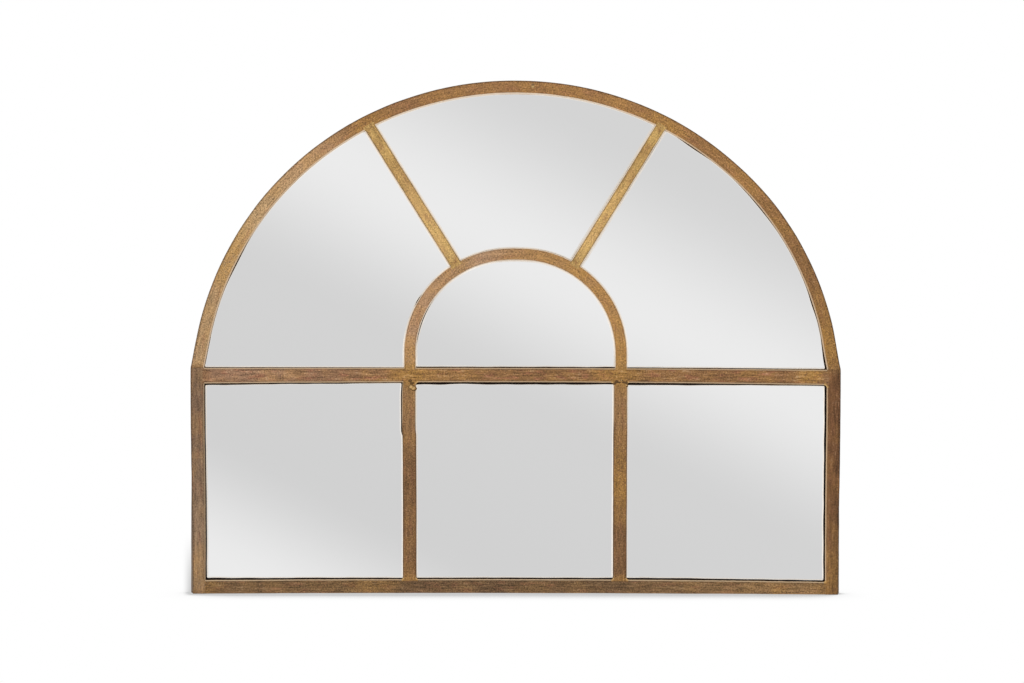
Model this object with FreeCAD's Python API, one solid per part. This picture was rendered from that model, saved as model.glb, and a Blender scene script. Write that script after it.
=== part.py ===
import FreeCAD, Part
import math
import os
from FreeCAD import Vector

# Arched overmantel mirror: a welded steel window frame that holds seven mirror panes.
# X is to the right seen from the front, Z is up and the front faces -Y.
# The origin is the middle of the base. Depths are counted from the frame's front face.

# Frame
frame_width = 950.0
frame_height = 750.0
frame_depth = 25.0
springing_height = 330.0
bar_width = 20.0
bar_thickness = 3.0
leg_thickness = 3.0
web_thickness = 3.0
web_depth = 10.0
muntin_offset = 154.2

# Outer arch, bent by hand: its crown is a little flatter than one circle would be
crown_flatness_share = 1.034
crown_half_angle = 20.7
end_turn_share = 0.943

# Inner arch and spokes
inner_bar_width = 18.0
inner_arch_rise = 166.3
inner_crown_radius_share = 1.94
inner_crown_half_angle = 3.2
inner_end_angle = 90.0
spoke_width = 18.5
spoke_angle = 31.8
spoke_centre_rise = 11.0

# Welds and drill mark on the front
fillet_leg = 4.0
bead_width = 9.0
bead_proud = 1.4
bead_drop = 8.0
seam_width = 3.6
seam_proud = 0.5
mark_radius = 2.0
mark_depth = 1.2
mark_offset = 22.7

# Glazing
pane_thickness = 4.0
pane_inset = 11.0
pane_gap = 2.0
tape_thickness = 1.5
tape_show = 1.5
block_length = 20.0
block_place_share = 0.25

# Back panel, bosses and turn-buttons
panel_thickness = 4.0
boss_radius = 3.5
boss_proud = 0.2
boss_bore_depth = 9.0
button_screw_radius = 1.5
button_screw_length = 7.0
button_bore_clearance = 0.05
button_thickness = 2.0
button_half_width = 3.0
button_reach = 14.0
button_gap = 0.1
button_head_radius = 2.7
button_head_height = 1.8
stile_button_share = 0.5
rail_button_share = 0.325
low_arch_button_angle = 42.0
high_arch_button_angle = 15.0

# Hangers
hanger_angle = 62.0
hanger_screw_radius = 2.0
hanger_screw_length = 8.0
hanger_hole_clearance = 0.1
hanger_head_radius = 3.2
hanger_head_height = 2.2
hanger_plate_thickness = 2.0
hanger_plate_length = 62.0
hanger_plate_width = 23.0
hanger_edge_gap = 0.5
hanger_end_margin = 18.0
tongue_width = 10.6
tongue_length = 5.0
ring_wire_radius = 1.5
ring_bore_clearance = 0.08
ring_half_width = 7.5
ring_leg = 7.5
ring_corner_radius = 2.0

# Wall bumpers
bumper_radius = 6.0
bumper_tip_radius = 4.5
bumper_proud = 1.5
bumper_inset = 24.0

# Cutting tools run past what they cut by this much
overrun = 5.0

# Worked out from the sizes above
half_width = frame_width / 2
rail_centre = springing_height - bar_width / 2
web_half = web_thickness / 2
inner_bar_half = inner_bar_width / 2
spoke_centre = springing_height + spoke_centre_rise
glass_front = bar_thickness + tape_thickness
glass_back = glass_front + pane_thickness
panel_back = web_depth + panel_thickness
boss_top = panel_back + boss_proud
boss_offset = leg_thickness + boss_radius
button_front = boss_top + button_gap
button_back = button_front + button_thickness
plate_back = boss_top + hanger_plate_thickness
ring_bore_radius = ring_wire_radius + ring_bore_clearance
curl_radius = ring_bore_radius + hanger_plate_thickness
curl_depth = boss_top + curl_radius
whole_depth = bead_proud + frame_depth + bumper_proud
front_y = bead_proud - whole_depth / 2
rearward = Vector(0, 1, 0)
upward = Vector(0, 0, 1)
rightward = Vector(1, 0, 0)
centre = Vector(0, 0, 0)
sides = {"left": -1, "right": 1}


def sine(angle):
    return math.sin(math.radians(angle))


def cosine(angle):
    return math.cos(math.radians(angle))


def at(x, depth, z):
    """A point, given its depth behind the frame's front face."""
    return Vector(x, front_y + depth, z)


def slab(low_x, high_x, low_z, high_z, near, far):
    """An upright box between two depths."""
    return Part.makeBox(high_x - low_x, far - near, high_z - low_z, at(low_x, near, low_z))


def side_slab(side, inner, outer, low_z, high_z, near, far):
    """A slab on one side, between two distances from the middle."""
    low_x, high_x = sorted((side * inner, side * outer))
    return slab(low_x, high_x, low_z, high_z, near, far)


def rod(radius, x, z, near, far):
    """A cylinder that runs from front to back."""
    return Part.makeCylinder(radius, far - near, at(x, near, z), rearward)


def fused(shapes):
    """One clean shape from several that meet."""
    return shapes[0].multiFuse(shapes[1:]).removeSplitter()


def mirrored(shape):
    """The left-hand twin of a right-hand shape."""
    return shape.mirror(centre, rightward)


def save(name, shapes):
    """Write one sub-part: a solid, or a group of separate solids."""
    shape = shapes[0] if len(shapes) == 1 else Part.makeCompound(shapes)
    shape.exportStep(os.path.join("parts", name + ".step"))
    print(name, len(shape.Solids), "solids", round(shape.Volume), "mm3", shape.isValid())


class ArchLine:
    """A three-centred arch: a flat crown arc, two side arcs and straight ends.

    An angle says how far the line's outward normal leans from straight up, negative on the left.
    An offset moves the line inward.
    """

    def __init__(self, half_span, foot, top, crown_radius, crown_angle, end_angle):
        turn = end_angle - crown_angle
        self.crown_angle = crown_angle
        self.end_angle = end_angle
        self.crown_radius = crown_radius
        self.crown_z = top - crown_radius
        reach = half_span * sine(end_angle) + (foot - self.crown_z) * cosine(end_angle)
        self.side_radius = (reach - crown_radius * cosine(turn)) / (1 - cosine(turn))
        self.side_x = (crown_radius - self.side_radius) * sine(crown_angle)
        self.side_z = self.crown_z + (crown_radius - self.side_radius) * cosine(crown_angle)
        self.top = top

    def point(self, angle, offset, depth):
        """The point of the line where its normal leans by this angle."""
        if abs(angle) < self.crown_angle:
            radius, x, z = self.crown_radius - offset, 0, self.crown_z
        else:
            radius, x, z = self.side_radius - offset, math.copysign(self.side_x, angle), self.side_z
        return at(x + radius * sine(angle), depth, z + radius * cosine(angle))

    def foot_point(self, side, offset, level, depth):
        """Where a straight end, run on down, comes to this level."""
        end = self.point(side * self.end_angle, offset, depth)
        lean = cosine(self.end_angle) / sine(self.end_angle)
        return Vector(end.x + side * (end.z - level) * lean, end.y, level)

    def region(self, offset, foot, near, far):
        """The solid under the line and above the foot, between two depths."""
        crown, end = self.crown_angle, self.end_angle
        middle = (crown + end) / 2
        angles = (-end, -middle, -crown, 0, crown, middle, end)
        stops = [self.point(angle, offset, near) for angle in angles]
        left, right = [self.foot_point(side, offset, 0, near) for side in (-1, 1)]
        edges = [Part.makeLine(left, stops[0])]
        for first in (0, 2, 4):
            edges.append(Part.Arc(*stops[first:first + 3]).toShape())
        edges += [Part.makeLine(stops[-1], right), Part.makeLine(right, left)]
        under = Part.Face(Part.Wire(edges)).extrude(rearward * (far - near))
        reach = max(right.x, self.side_x + self.side_radius) + overrun
        return under.common(slab(-reach, reach, foot, self.top - offset + overrun, near, far))

    def ring(self, outer_offset, inner_offset, foot, near, far):
        """The band between two offsets of the line."""
        hole = self.region(inner_offset, 0, near - overrun, far + overrun)
        return self.region(outer_offset, foot, near, far).cut(hole)


def outer_line():
    """The outer edge of the frame's arch, from stile top to stile top."""
    rise = frame_height - springing_height
    one_radius = (half_width ** 2 + rise ** 2) / (2 * rise)
    foot_angle = math.degrees(math.acos((one_radius - rise) / one_radius))
    crown_radius = one_radius * crown_flatness_share
    end_angle = foot_angle * end_turn_share
    return ArchLine(half_width, springing_height, frame_height, crown_radius, crown_half_angle, end_angle)


def inner_line():
    """The middle of the inner arch's bar, over the two muntins."""
    top = springing_height + inner_arch_rise
    crown_radius = muntin_offset * inner_crown_radius_share
    angles = (inner_crown_half_angle, inner_end_angle)
    return ArchLine(muntin_offset, springing_height, top, crown_radius, *angles)


outer = outer_line()
inner = inner_line()


def spoke_strip(side, width, near, far):
    """An endless straight strip that leaves the spokes' centre at the spoke angle."""
    strip = slab(-width / 2, width / 2, 0, frame_width, near, far)
    strip.rotate(centre, rearward, side * spoke_angle)
    strip.translate(upward * spoke_centre)
    return strip


def stile(side):
    """An upright angle bar: the face bar and the leg behind its outer edge."""
    face = side_slab(side, half_width - bar_width, half_width, 0, springing_height, 0, bar_thickness)
    leg = side_slab(side, half_width - leg_thickness, half_width, 0, springing_height, 0, frame_depth)
    return fused([face, leg])


def bottom_rail():
    """The bottom angle bar: its face is butted between the stiles, its leg runs on behind them."""
    inside = half_width - bar_width
    behind = half_width - leg_thickness
    face = slab(-inside, inside, 0, bar_width, 0, bar_thickness)
    leg = slab(-behind, behind, 0, leg_thickness, bar_thickness, frame_depth)
    return fused([face, leg])


def mid_rail():
    """The tee bar at the springing, from stile to stile."""
    inside = half_width - bar_width
    behind = half_width - leg_thickness
    face = slab(-inside, inside, springing_height - bar_width, springing_height, 0, bar_thickness)
    web = slab(-behind, behind, rail_centre - web_half, rail_centre + web_half, bar_thickness, web_depth)
    return fused([face, web])


def muntin(side):
    """An upright tee bar between the bottom rail and the mid rail."""
    edges = (muntin_offset - bar_width / 2, muntin_offset + bar_width / 2)
    web_edges = (muntin_offset - web_half, muntin_offset + web_half)
    face = side_slab(side, *edges, bar_width, springing_height - bar_width, 0, bar_thickness)
    web = side_slab(side, *web_edges, leg_thickness, rail_centre - web_half, bar_thickness, web_depth)
    return fused([face, web])


def outer_arch():
    """The bent angle bar over the stiles, with a drill mark near its crown."""
    face = outer.ring(0, bar_width, springing_height, 0, bar_thickness)
    leg = outer.ring(0, leg_thickness, springing_height, 0, frame_depth)
    mark_angle = math.degrees(math.asin(mark_offset / outer.crown_radius))
    mark_place = outer.point(mark_angle, bar_width / 2, 0)
    mark = Part.makeCone(mark_radius, 0, mark_depth, mark_place, rearward)
    return fused([face, leg]).cut(mark)


def inner_arch():
    """The bent tee bar that stands on the mid rail over the muntins."""
    face = inner.ring(-inner_bar_half, inner_bar_half, springing_height, 0, bar_thickness)
    web = inner.ring(-web_half, web_half, rail_centre + web_half, bar_thickness, web_depth)
    return fused([face, web])


def spoke(side):
    """A straight tee bar from the inner arch to the outer arch."""
    face = spoke_strip(side, spoke_width, 0, bar_thickness)
    face = face.cut(inner.region(-inner_bar_half, 0, 0, bar_thickness))
    face = face.common(outer.region(bar_width, 0, 0, bar_thickness))
    web = spoke_strip(side, web_thickness, bar_thickness, web_depth)
    web = web.cut(inner.region(-web_half, 0, bar_thickness, web_depth))
    web = web.common(outer.region(leg_thickness, 0, bar_thickness, web_depth))
    return fused([face, web])


def corner_fillet(x, z, side, rise):
    """Weld metal in an inside corner, hollowed to a quarter round."""
    far_x, far_z = x + side * fillet_leg, z + rise * fillet_leg
    low_x, high_x = sorted((x, far_x))
    low_z, high_z = sorted((z, far_z))
    block = slab(low_x, high_x, low_z, high_z, 0, bar_thickness)
    return block.cut(rod(fillet_leg, far_x, far_z, -overrun, bar_thickness + overrun))


def cap(width, proud, middle):
    """A low dome of weld metal on the frame's front face."""
    radius = (width ** 2 / 4 + proud ** 2) / (2 * proud)
    ball = Part.makeSphere(radius, middle + rearward * (radius - proud))
    half = width / 2
    return ball.common(slab(middle.x - half, middle.x + half, middle.z - half, middle.z + half, -proud, 0))


def seam_bead():
    """A low ridge of weld metal across the joint of the right muntin and the mid rail."""
    radius = (seam_width ** 2 / 4 + seam_proud ** 2) / (2 * seam_proud)
    low_x, high_x = muntin_offset - bar_width / 2, muntin_offset + bar_width / 2
    z = springing_height - bar_width
    round_bar = Part.makeCylinder(radius, bar_width, at(low_x, radius - seam_proud, z), rightward)
    return round_bar.common(slab(low_x, high_x, z - seam_width, z + seam_width, -seam_proud, 0))


def front_welds():
    """The weld metal that was left standing on the front."""
    edge = half_width - bar_width
    under_rail = springing_height - bar_width
    muntin_edge = muntin_offset - bar_width / 2
    bead_place = at(-muntin_edge - bead_width / 2, 0, under_rail - bead_drop)
    return [
        corner_fillet(edge, under_rail, -1, -1),
        corner_fillet(-edge, bar_width, 1, 1),
        corner_fillet(-muntin_edge, under_rail, 1, -1),
        corner_fillet(muntin_edge, under_rail, -1, -1),
        cap(bead_width, bead_proud, bead_place),
        seam_bead(),
    ]


def pane_half(width):
    """How far a pane's edge lies from the middle of a bar of any width: just clear of the web."""
    return web_half + pane_gap


def sight_half(width):
    """How far the tape's edge lies from the middle of a bar: just past the face."""
    return width / 2 + tape_show


def cells(edge, half_of, near, far):
    """The seven openings of the frame as solids, with this edge inset and these bar halves."""
    rail_half, arch_half, spoke_half = half_of(bar_width), half_of(inner_bar_width), half_of(spoke_width)
    lower = slab(edge - half_width, half_width - edge, edge, rail_centre - rail_half, near, far)
    upper = outer.region(edge, rail_centre + rail_half, near, far)
    upper = upper.cut(inner.ring(-arch_half, arch_half, 0, near, far))
    arch_inside = inner.region(0, 0, near, far)
    for side in sides.values():
        bar = (muntin_offset - rail_half, muntin_offset + rail_half)
        lower = lower.cut(side_slab(side, *bar, 0, springing_height, near, far))
        upper = upper.cut(spoke_strip(side, 2 * spoke_half, near, far).cut(arch_inside))
    left, middle, right = sorted(lower.Solids, key=lambda solid: solid.CenterOfMass.x)
    left_fan, low, high, right_fan = sorted(upper.Solids, key=lambda solid: solid.CenterOfMass.x)
    inner_pane, centre_fan = sorted((low, high), key=lambda solid: solid.CenterOfMass.z)
    return {
        "lower_left": left,
        "lower_middle": middle,
        "lower_right": right,
        "inner_arch": inner_pane,
        "left_fan": left_fan,
        "centre_fan": centre_fan,
        "right_fan": right_fan,
    }


def tapes():
    """Black glazing tape between the faces and the glass, one loop for each pane."""
    pads = cells(pane_inset, pane_half, bar_thickness, glass_front)
    sights = cells(bar_width + tape_show, sight_half, bar_thickness, glass_front)
    return {name: pads[name].cut(sights[name]) for name in pads}


def setting_blocks():
    """Two rubber blocks under each pane, behind the faces."""
    pane_edge = half_width - pane_inset
    inside, outside = muntin_offset - web_half - pane_gap, muntin_offset + web_half + pane_gap
    bases = ((-pane_edge, -outside), (-inside, inside), (outside, pane_edge))
    web_top = rail_centre + web_half
    blocks = []
    for low, high in bases:
        for share in (block_place_share, 1 - block_place_share):
            start = low + (high - low) * share - block_length / 2
            end = start + block_length
            blocks.append(slab(start, end, leg_thickness, pane_inset, glass_front, glass_back))
            blocks.append(slab(start, end, web_top, web_top + pane_gap, glass_front, glass_back))
    saddle = inner.ring(-web_half - pane_gap, -web_half, springing_height, glass_front, glass_back)
    start = inside * block_place_share
    end = start + block_length
    for side in sides.values():
        above = side_slab(side, start, end, inner.side_z, frame_height, glass_front, glass_back)
        blocks.append(saddle.common(above))
    return blocks


def back_panel():
    """One arched board over all the panes."""
    arch = outer.region(pane_inset, springing_height, web_depth, panel_back)
    reach = outer.foot_point(1, pane_inset, springing_height, 0).x
    return fused([arch, slab(-reach, reach, pane_inset, springing_height, web_depth, panel_back)])


def button_places():
    """Where the turn-buttons pivot, and which way their outer ends point from straight up."""
    edge = half_width - boss_offset
    stile_z = springing_height * stile_button_share
    rail_x = frame_width * rail_button_share
    places = {
        "left_stile": (-edge, stile_z, -90),
        "right_stile": (edge, stile_z, 90),
        "bottom_left": (-rail_x, boss_offset, 180),
        "bottom_right": (rail_x, boss_offset, 180),
    }
    for side_name, side in sides.items():
        for height, angle in (("low", low_arch_button_angle), ("high", high_arch_button_angle)):
            pivot = outer.point(side * angle, boss_offset, 0)
            places["arch_%s_%s" % (side_name, height)] = (pivot.x, pivot.z, side * angle)
    return places


def hanger_screw_places(side):
    """Where a hanger's two screws stand, along the arch."""
    reach = hanger_plate_length / 2 - hanger_end_margin
    lean = math.degrees(math.asin(reach / (outer.side_radius - boss_offset)))
    return [outer.point(side * (hanger_angle + turn), boss_offset, 0) for turn in (-lean, lean)]


def boss(x, z, bore_radius):
    """A round boss welded behind a face bar, with a blind screw hole from the back."""
    body = rod(boss_radius, x, z, bar_thickness, boss_top)
    return body.cut(rod(bore_radius, x, z, boss_top - boss_bore_depth, boss_top))


def button_bosses():
    """The bosses that carry the turn-buttons."""
    return [boss(x, z, button_screw_radius) for x, z, _ in button_places().values()]


def hanger_bosses():
    """The bosses that carry the two hanger plates."""
    places = hanger_screw_places(-1) + hanger_screw_places(1)
    return [boss(place.x, place.z, hanger_screw_radius) for place in places]


def screw(x, z, shank_radius, shank_length, head_radius, head_height, seat):
    """A pan-head screw with a rounded head, driven from the back onto its seat."""
    shank = rod(shank_radius, x, z, seat - shank_length, seat)
    head = rod(head_radius, x, z, seat, seat + head_height)
    rim = [edge for edge in head.Edges if edge.BoundBox.YMin > front_y + seat]
    return fused([shank, head.makeFillet(head_height / 3, rim)])


def button_screws():
    """The screws on which the turn-buttons turn."""
    seat = button_back + button_gap
    length = seat - boss_top + button_screw_length
    sizes = (button_screw_radius, length, button_head_radius, button_head_height, seat)
    return [screw(x, z, *sizes) for x, z, _ in button_places().values()]


def hanger_screws():
    """The screws that hold the two hanger plates."""
    length = hanger_plate_thickness + hanger_screw_length
    sizes = (hanger_screw_radius, length, hanger_head_radius, hanger_head_height, plate_back)
    places = hanger_screw_places(-1) + hanger_screw_places(1)
    return [screw(place.x, place.z, *sizes) for place in places]


def turn_button(x, z, turn):
    """A round-ended plate that turns on its screw and holds the back panel in."""
    depths = (button_front, button_back)
    arm = slab(-button_half_width, button_half_width, button_half_width - button_reach, 0, *depths)
    ends = [rod(button_half_width, 0, low, *depths) for low in (0, button_half_width - button_reach)]
    plate = fused([arm] + ends)
    plate = plate.cut(rod(button_screw_radius + button_bore_clearance, 0, 0, 0, frame_depth))
    plate.rotate(centre, rearward, turn)
    plate.translate(Vector(x, 0, z))
    return plate


def set_on_arch(shape):
    """Turn a shape drawn about the hanger's middle, outward side up, and move it to the right arch."""
    middle = outer.point(hanger_angle, boss_offset, 0)
    shape.rotate(centre, rearward, hanger_angle)
    shape.translate(Vector(middle.x, 0, middle.z))
    return shape


def hanger_middle():
    """Height of the hanger's own middle line over its screws' line, outward side up."""
    return boss_radius - hanger_edge_gap - hanger_plate_width / 2


def hinge_reach():
    """Distance from the middle between the screws to the ring's bar."""
    return hanger_plate_length / 2 + tongue_length


def hanger_plate():
    """The right hanger's plate: it follows the leg, and its tongue curls round the ring's bar."""
    half = hanger_plate_length / 2
    middle = hanger_middle()
    hinge = hinge_reach()
    low, high = middle - hanger_plate_width / 2, middle + hanger_plate_width
    plate = set_on_arch(slab(-half, half, low, high, boss_top, plate_back))
    plate = plate.common(outer.region(leg_thickness + hanger_edge_gap, 0, boss_top, plate_back))
    tongue_edges = (middle - tongue_width / 2, middle + tongue_width / 2)
    tongue = slab(-hinge, -half, *tongue_edges, boss_top, plate_back)
    curl = Part.makeCylinder(curl_radius, tongue_width, at(-hinge, curl_depth, tongue_edges[0]), upward)
    bore = Part.makeCylinder(ring_bore_radius, tongue_width, at(-hinge, curl_depth, tongue_edges[0]), upward)
    shape = fused([plate, set_on_arch(tongue), set_on_arch(curl)]).cut(set_on_arch(bore))
    for place in hanger_screw_places(1):
        hole = rod(hanger_screw_radius + hanger_hole_clearance, place.x, place.z, boss_top, plate_back)
        shape = shape.cut(hole)
    return shape


def ring_path():
    """The middle line of the D-ring's wire: the bar in the curl, two legs and the bow."""
    bar_x, middle, corner = -hinge_reach(), hanger_middle(), ring_corner_radius
    bow_x = bar_x + corner + ring_leg
    slant = corner * (1 - sine(45))

    def spot(x, rise, short):
        return at(x, curl_depth, middle + rise * (ring_half_width - short))

    edges = [Part.makeLine(spot(bar_x, -1, corner), spot(bar_x, 1, corner))]
    for rise in (1, -1):
        bend = (spot(bar_x, rise, corner), spot(bar_x + slant, rise, slant), spot(bar_x + corner, rise, 0))
        edges.append(Part.Arc(*bend).toShape())
        edges.append(Part.makeLine(bend[-1], spot(bow_x, rise, 0)))
    bow_end = spot(bow_x + ring_half_width, 1, ring_half_width)
    edges.append(Part.Arc(spot(bow_x, 1, 0), bow_end, spot(bow_x, -1, 0)).toShape())
    return Part.Wire(Part.__sortEdges__(edges))


def hanger_ring():
    """The right hanger's D-ring, hanging down behind its plate."""
    start = at(-hinge_reach(), curl_depth, hanger_middle())
    wire_end = Part.Wire(Part.makeCircle(ring_wire_radius, start, upward))
    ring = ring_path().makePipeShell([wire_end], True, False)
    return set_on_arch(ring)


def wall_bumper(side):
    """A tapered rubber bumper stuck to the back panel's lower corner."""
    height = frame_depth + bumper_proud - panel_back
    middle = at(side * (half_width - bumper_inset), panel_back, bumper_inset)
    return Part.makeCone(bumper_radius, bumper_tip_radius, height, middle, rearward)


def main():
    os.makedirs("parts", exist_ok=True)
    for name, side in sides.items():
        save(name + "_stile", [stile(side)])
        save(name + "_muntin", [muntin(side)])
        save(name + "_spoke", [spoke(side)])
        save(name + "_wall_bumper", [wall_bumper(side)])
    save("bottom_rail", [bottom_rail()])
    save("mid_rail", [mid_rail()])
    save("outer_arch", [outer_arch()])
    save("inner_arch", [inner_arch()])
    save("front_welds", front_welds())
    for name, pane in cells(pane_inset, pane_half, glass_front, glass_back).items():
        save("mirror_" + name, [pane])
    for name, tape in tapes().items():
        save("tape_" + name, [tape])
    save("backing_foam", list(cells(pane_inset, pane_half, glass_back, web_depth).values()))
    save("setting_blocks", setting_blocks())
    save("back_panel", [back_panel()])
    save("button_bosses", button_bosses())
    save("button_screws", button_screws())
    for name, place in button_places().items():
        save("turn_button_" + name, [turn_button(*place)])
    save("hanger_bosses", hanger_bosses())
    save("hanger_screws", hanger_screws())
    plate = hanger_plate()
    ring = hanger_ring()
    save("right_hanger_plate", [plate])
    save("right_hanger_ring", [ring])
    save("left_hanger_plate", [mirrored(plate)])
    save("left_hanger_ring", [mirrored(ring)])


main()
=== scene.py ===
"""Arched overmantel mirror: its looks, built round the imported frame.

All sizes are in metres in the frame's own axes: X runs to the right, Z runs up and the front faces -Y.
A point of the frame's front plane is written (x, z), and a depth is a place along Y.
"""

import logging
import math
from collections.abc import Callable, Iterator, Mapping, Sequence
from contextlib import contextmanager
from dataclasses import dataclass, field, replace
from enum import Enum

import bmesh
import bpy
from mathutils import Matrix, Vector, noise
from mathutils.geometry import tessellate_polygon


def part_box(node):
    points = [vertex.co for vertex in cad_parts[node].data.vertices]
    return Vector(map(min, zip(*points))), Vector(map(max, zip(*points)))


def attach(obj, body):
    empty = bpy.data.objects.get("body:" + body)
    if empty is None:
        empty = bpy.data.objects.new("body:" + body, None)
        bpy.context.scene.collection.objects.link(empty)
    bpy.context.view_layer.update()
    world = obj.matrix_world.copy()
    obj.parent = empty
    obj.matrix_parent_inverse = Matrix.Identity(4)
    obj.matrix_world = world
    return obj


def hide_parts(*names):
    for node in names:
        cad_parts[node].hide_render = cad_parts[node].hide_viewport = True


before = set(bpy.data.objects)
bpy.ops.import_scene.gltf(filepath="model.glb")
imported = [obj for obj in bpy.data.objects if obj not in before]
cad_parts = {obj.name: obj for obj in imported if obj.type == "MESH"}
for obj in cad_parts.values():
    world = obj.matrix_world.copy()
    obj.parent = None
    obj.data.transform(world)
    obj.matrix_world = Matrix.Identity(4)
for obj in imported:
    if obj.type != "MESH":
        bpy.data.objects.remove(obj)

log = logging.getLogger("arched_mirror")
Colour = tuple[float, float, float, float]
Flat = tuple[float, float]
Triple = tuple[float, float, float]
Span = tuple[float, float, float, float]
Stops = tuple[tuple[float, Colour], ...]
Piece = bpy.types.Object
Material = bpy.types.Material
Shape = bmesh.types.BMesh
Finishes = dict[str, Material]
Reach = Callable[["SightSide", float, Flat], float]
MM = 0.001
ROOT = "frame"
SIDES = {"left": -1, "right": 1}
# A bar's marks count down from these, so that they are 0 far from an edge or a joint
MARK_REACH = 5 * MM
SEAM_REACH = 14 * MM
# Longer than any bar, in metres, to run a colour along one
LONGEST = 1.6
WELD_TOLERANCE = 0.01 * MM
# Where a tape's edge lies behind the face's edge and doesn't show, in millimetres
HIDDEN = -0.8


class Section(Enum):
    """The rolled sections that the bars are made of."""

    ANGLE = "angle"
    TEE = "tee"
    LIP = "lip"


class Slot(Enum):
    """The record's material slots that the new pieces take."""

    GILT = "aged_gilt"
    GLASS = "mirror_glass"
    TAPE = "glazing_tape"
    RUBBER = "rubber"
    ZINC = "zinc_plate"


def tone(red: float, green: float, blue: float) -> Colour:
    """A linear colour from screen values of 0 to 255."""
    shares = [value / 255 for value in (red, green, blue)]
    linear = [s / 12.92 if s <= 0.04045 else ((s + 0.055) / 1.055) ** 2.4 for s in shares]
    return (*linear, 1.0)


def grey(level: float) -> Colour:
    """A neutral linear colour from one screen value of 0 to 255."""
    return tone(level, level, level)


def ramp(*stops: Span) -> Stops:
    """Colour stops, each from its place and three screen values of 0 to 255."""
    return tuple((place, tone(*values)) for place, *values in stops)


def operation(kind: str, swapped: bool = False) -> Callable[["Wire", object], "Wire"]:
    """A method that adds a Math node on a wire and another value.

    Args:
        kind: The node's operation.
        swapped: Whether the other value comes first.

    Returns:
        The method.
    """

    def method(wire: "Wire", other: object) -> "Wire":
        """The node's result."""
        first, second = (other, wire) if swapped else (wire, other)
        return wire.sheet.add("ShaderNodeMath", {"operation": kind}, {0: first, 1: second})

    return method


class Wire:
    """A node's output that takes part in Python expressions."""

    def __init__(self, sheet: "Sheet", socket: bpy.types.NodeSocket) -> None:
        """Keep the socket and the sheet that it lies on."""
        self.sheet = sheet
        self.socket = socket

    __add__ = __radd__ = operation("ADD")
    __sub__ = operation("SUBTRACT")
    __rsub__ = operation("SUBTRACT", swapped=True)
    __mul__ = __rmul__ = operation("MULTIPLY")
    __truediv__ = operation("DIVIDE")
    __rtruediv__ = operation("DIVIDE", swapped=True)
    least = operation("MINIMUM")
    most = operation("MAXIMUM")

    def __abs__(self) -> "Wire":
        """This without its sign."""
        return self.sheet.add("ShaderNodeMath", {"operation": "ABSOLUTE"}, {0: self})

    def step(self, low: float, high: float) -> "Wire":
        """A smooth rise from 0 at low to 1 at high, or a fall where low is the larger."""
        ends = (low, high, 0.0, 1.0) if low < high else (high, low, 1.0, 0.0)
        settings = {"interpolation_type": "SMOOTHSTEP"}
        return self.sheet.add("ShaderNodeMapRange", settings, dict(enumerate((self, *ends))))


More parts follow.
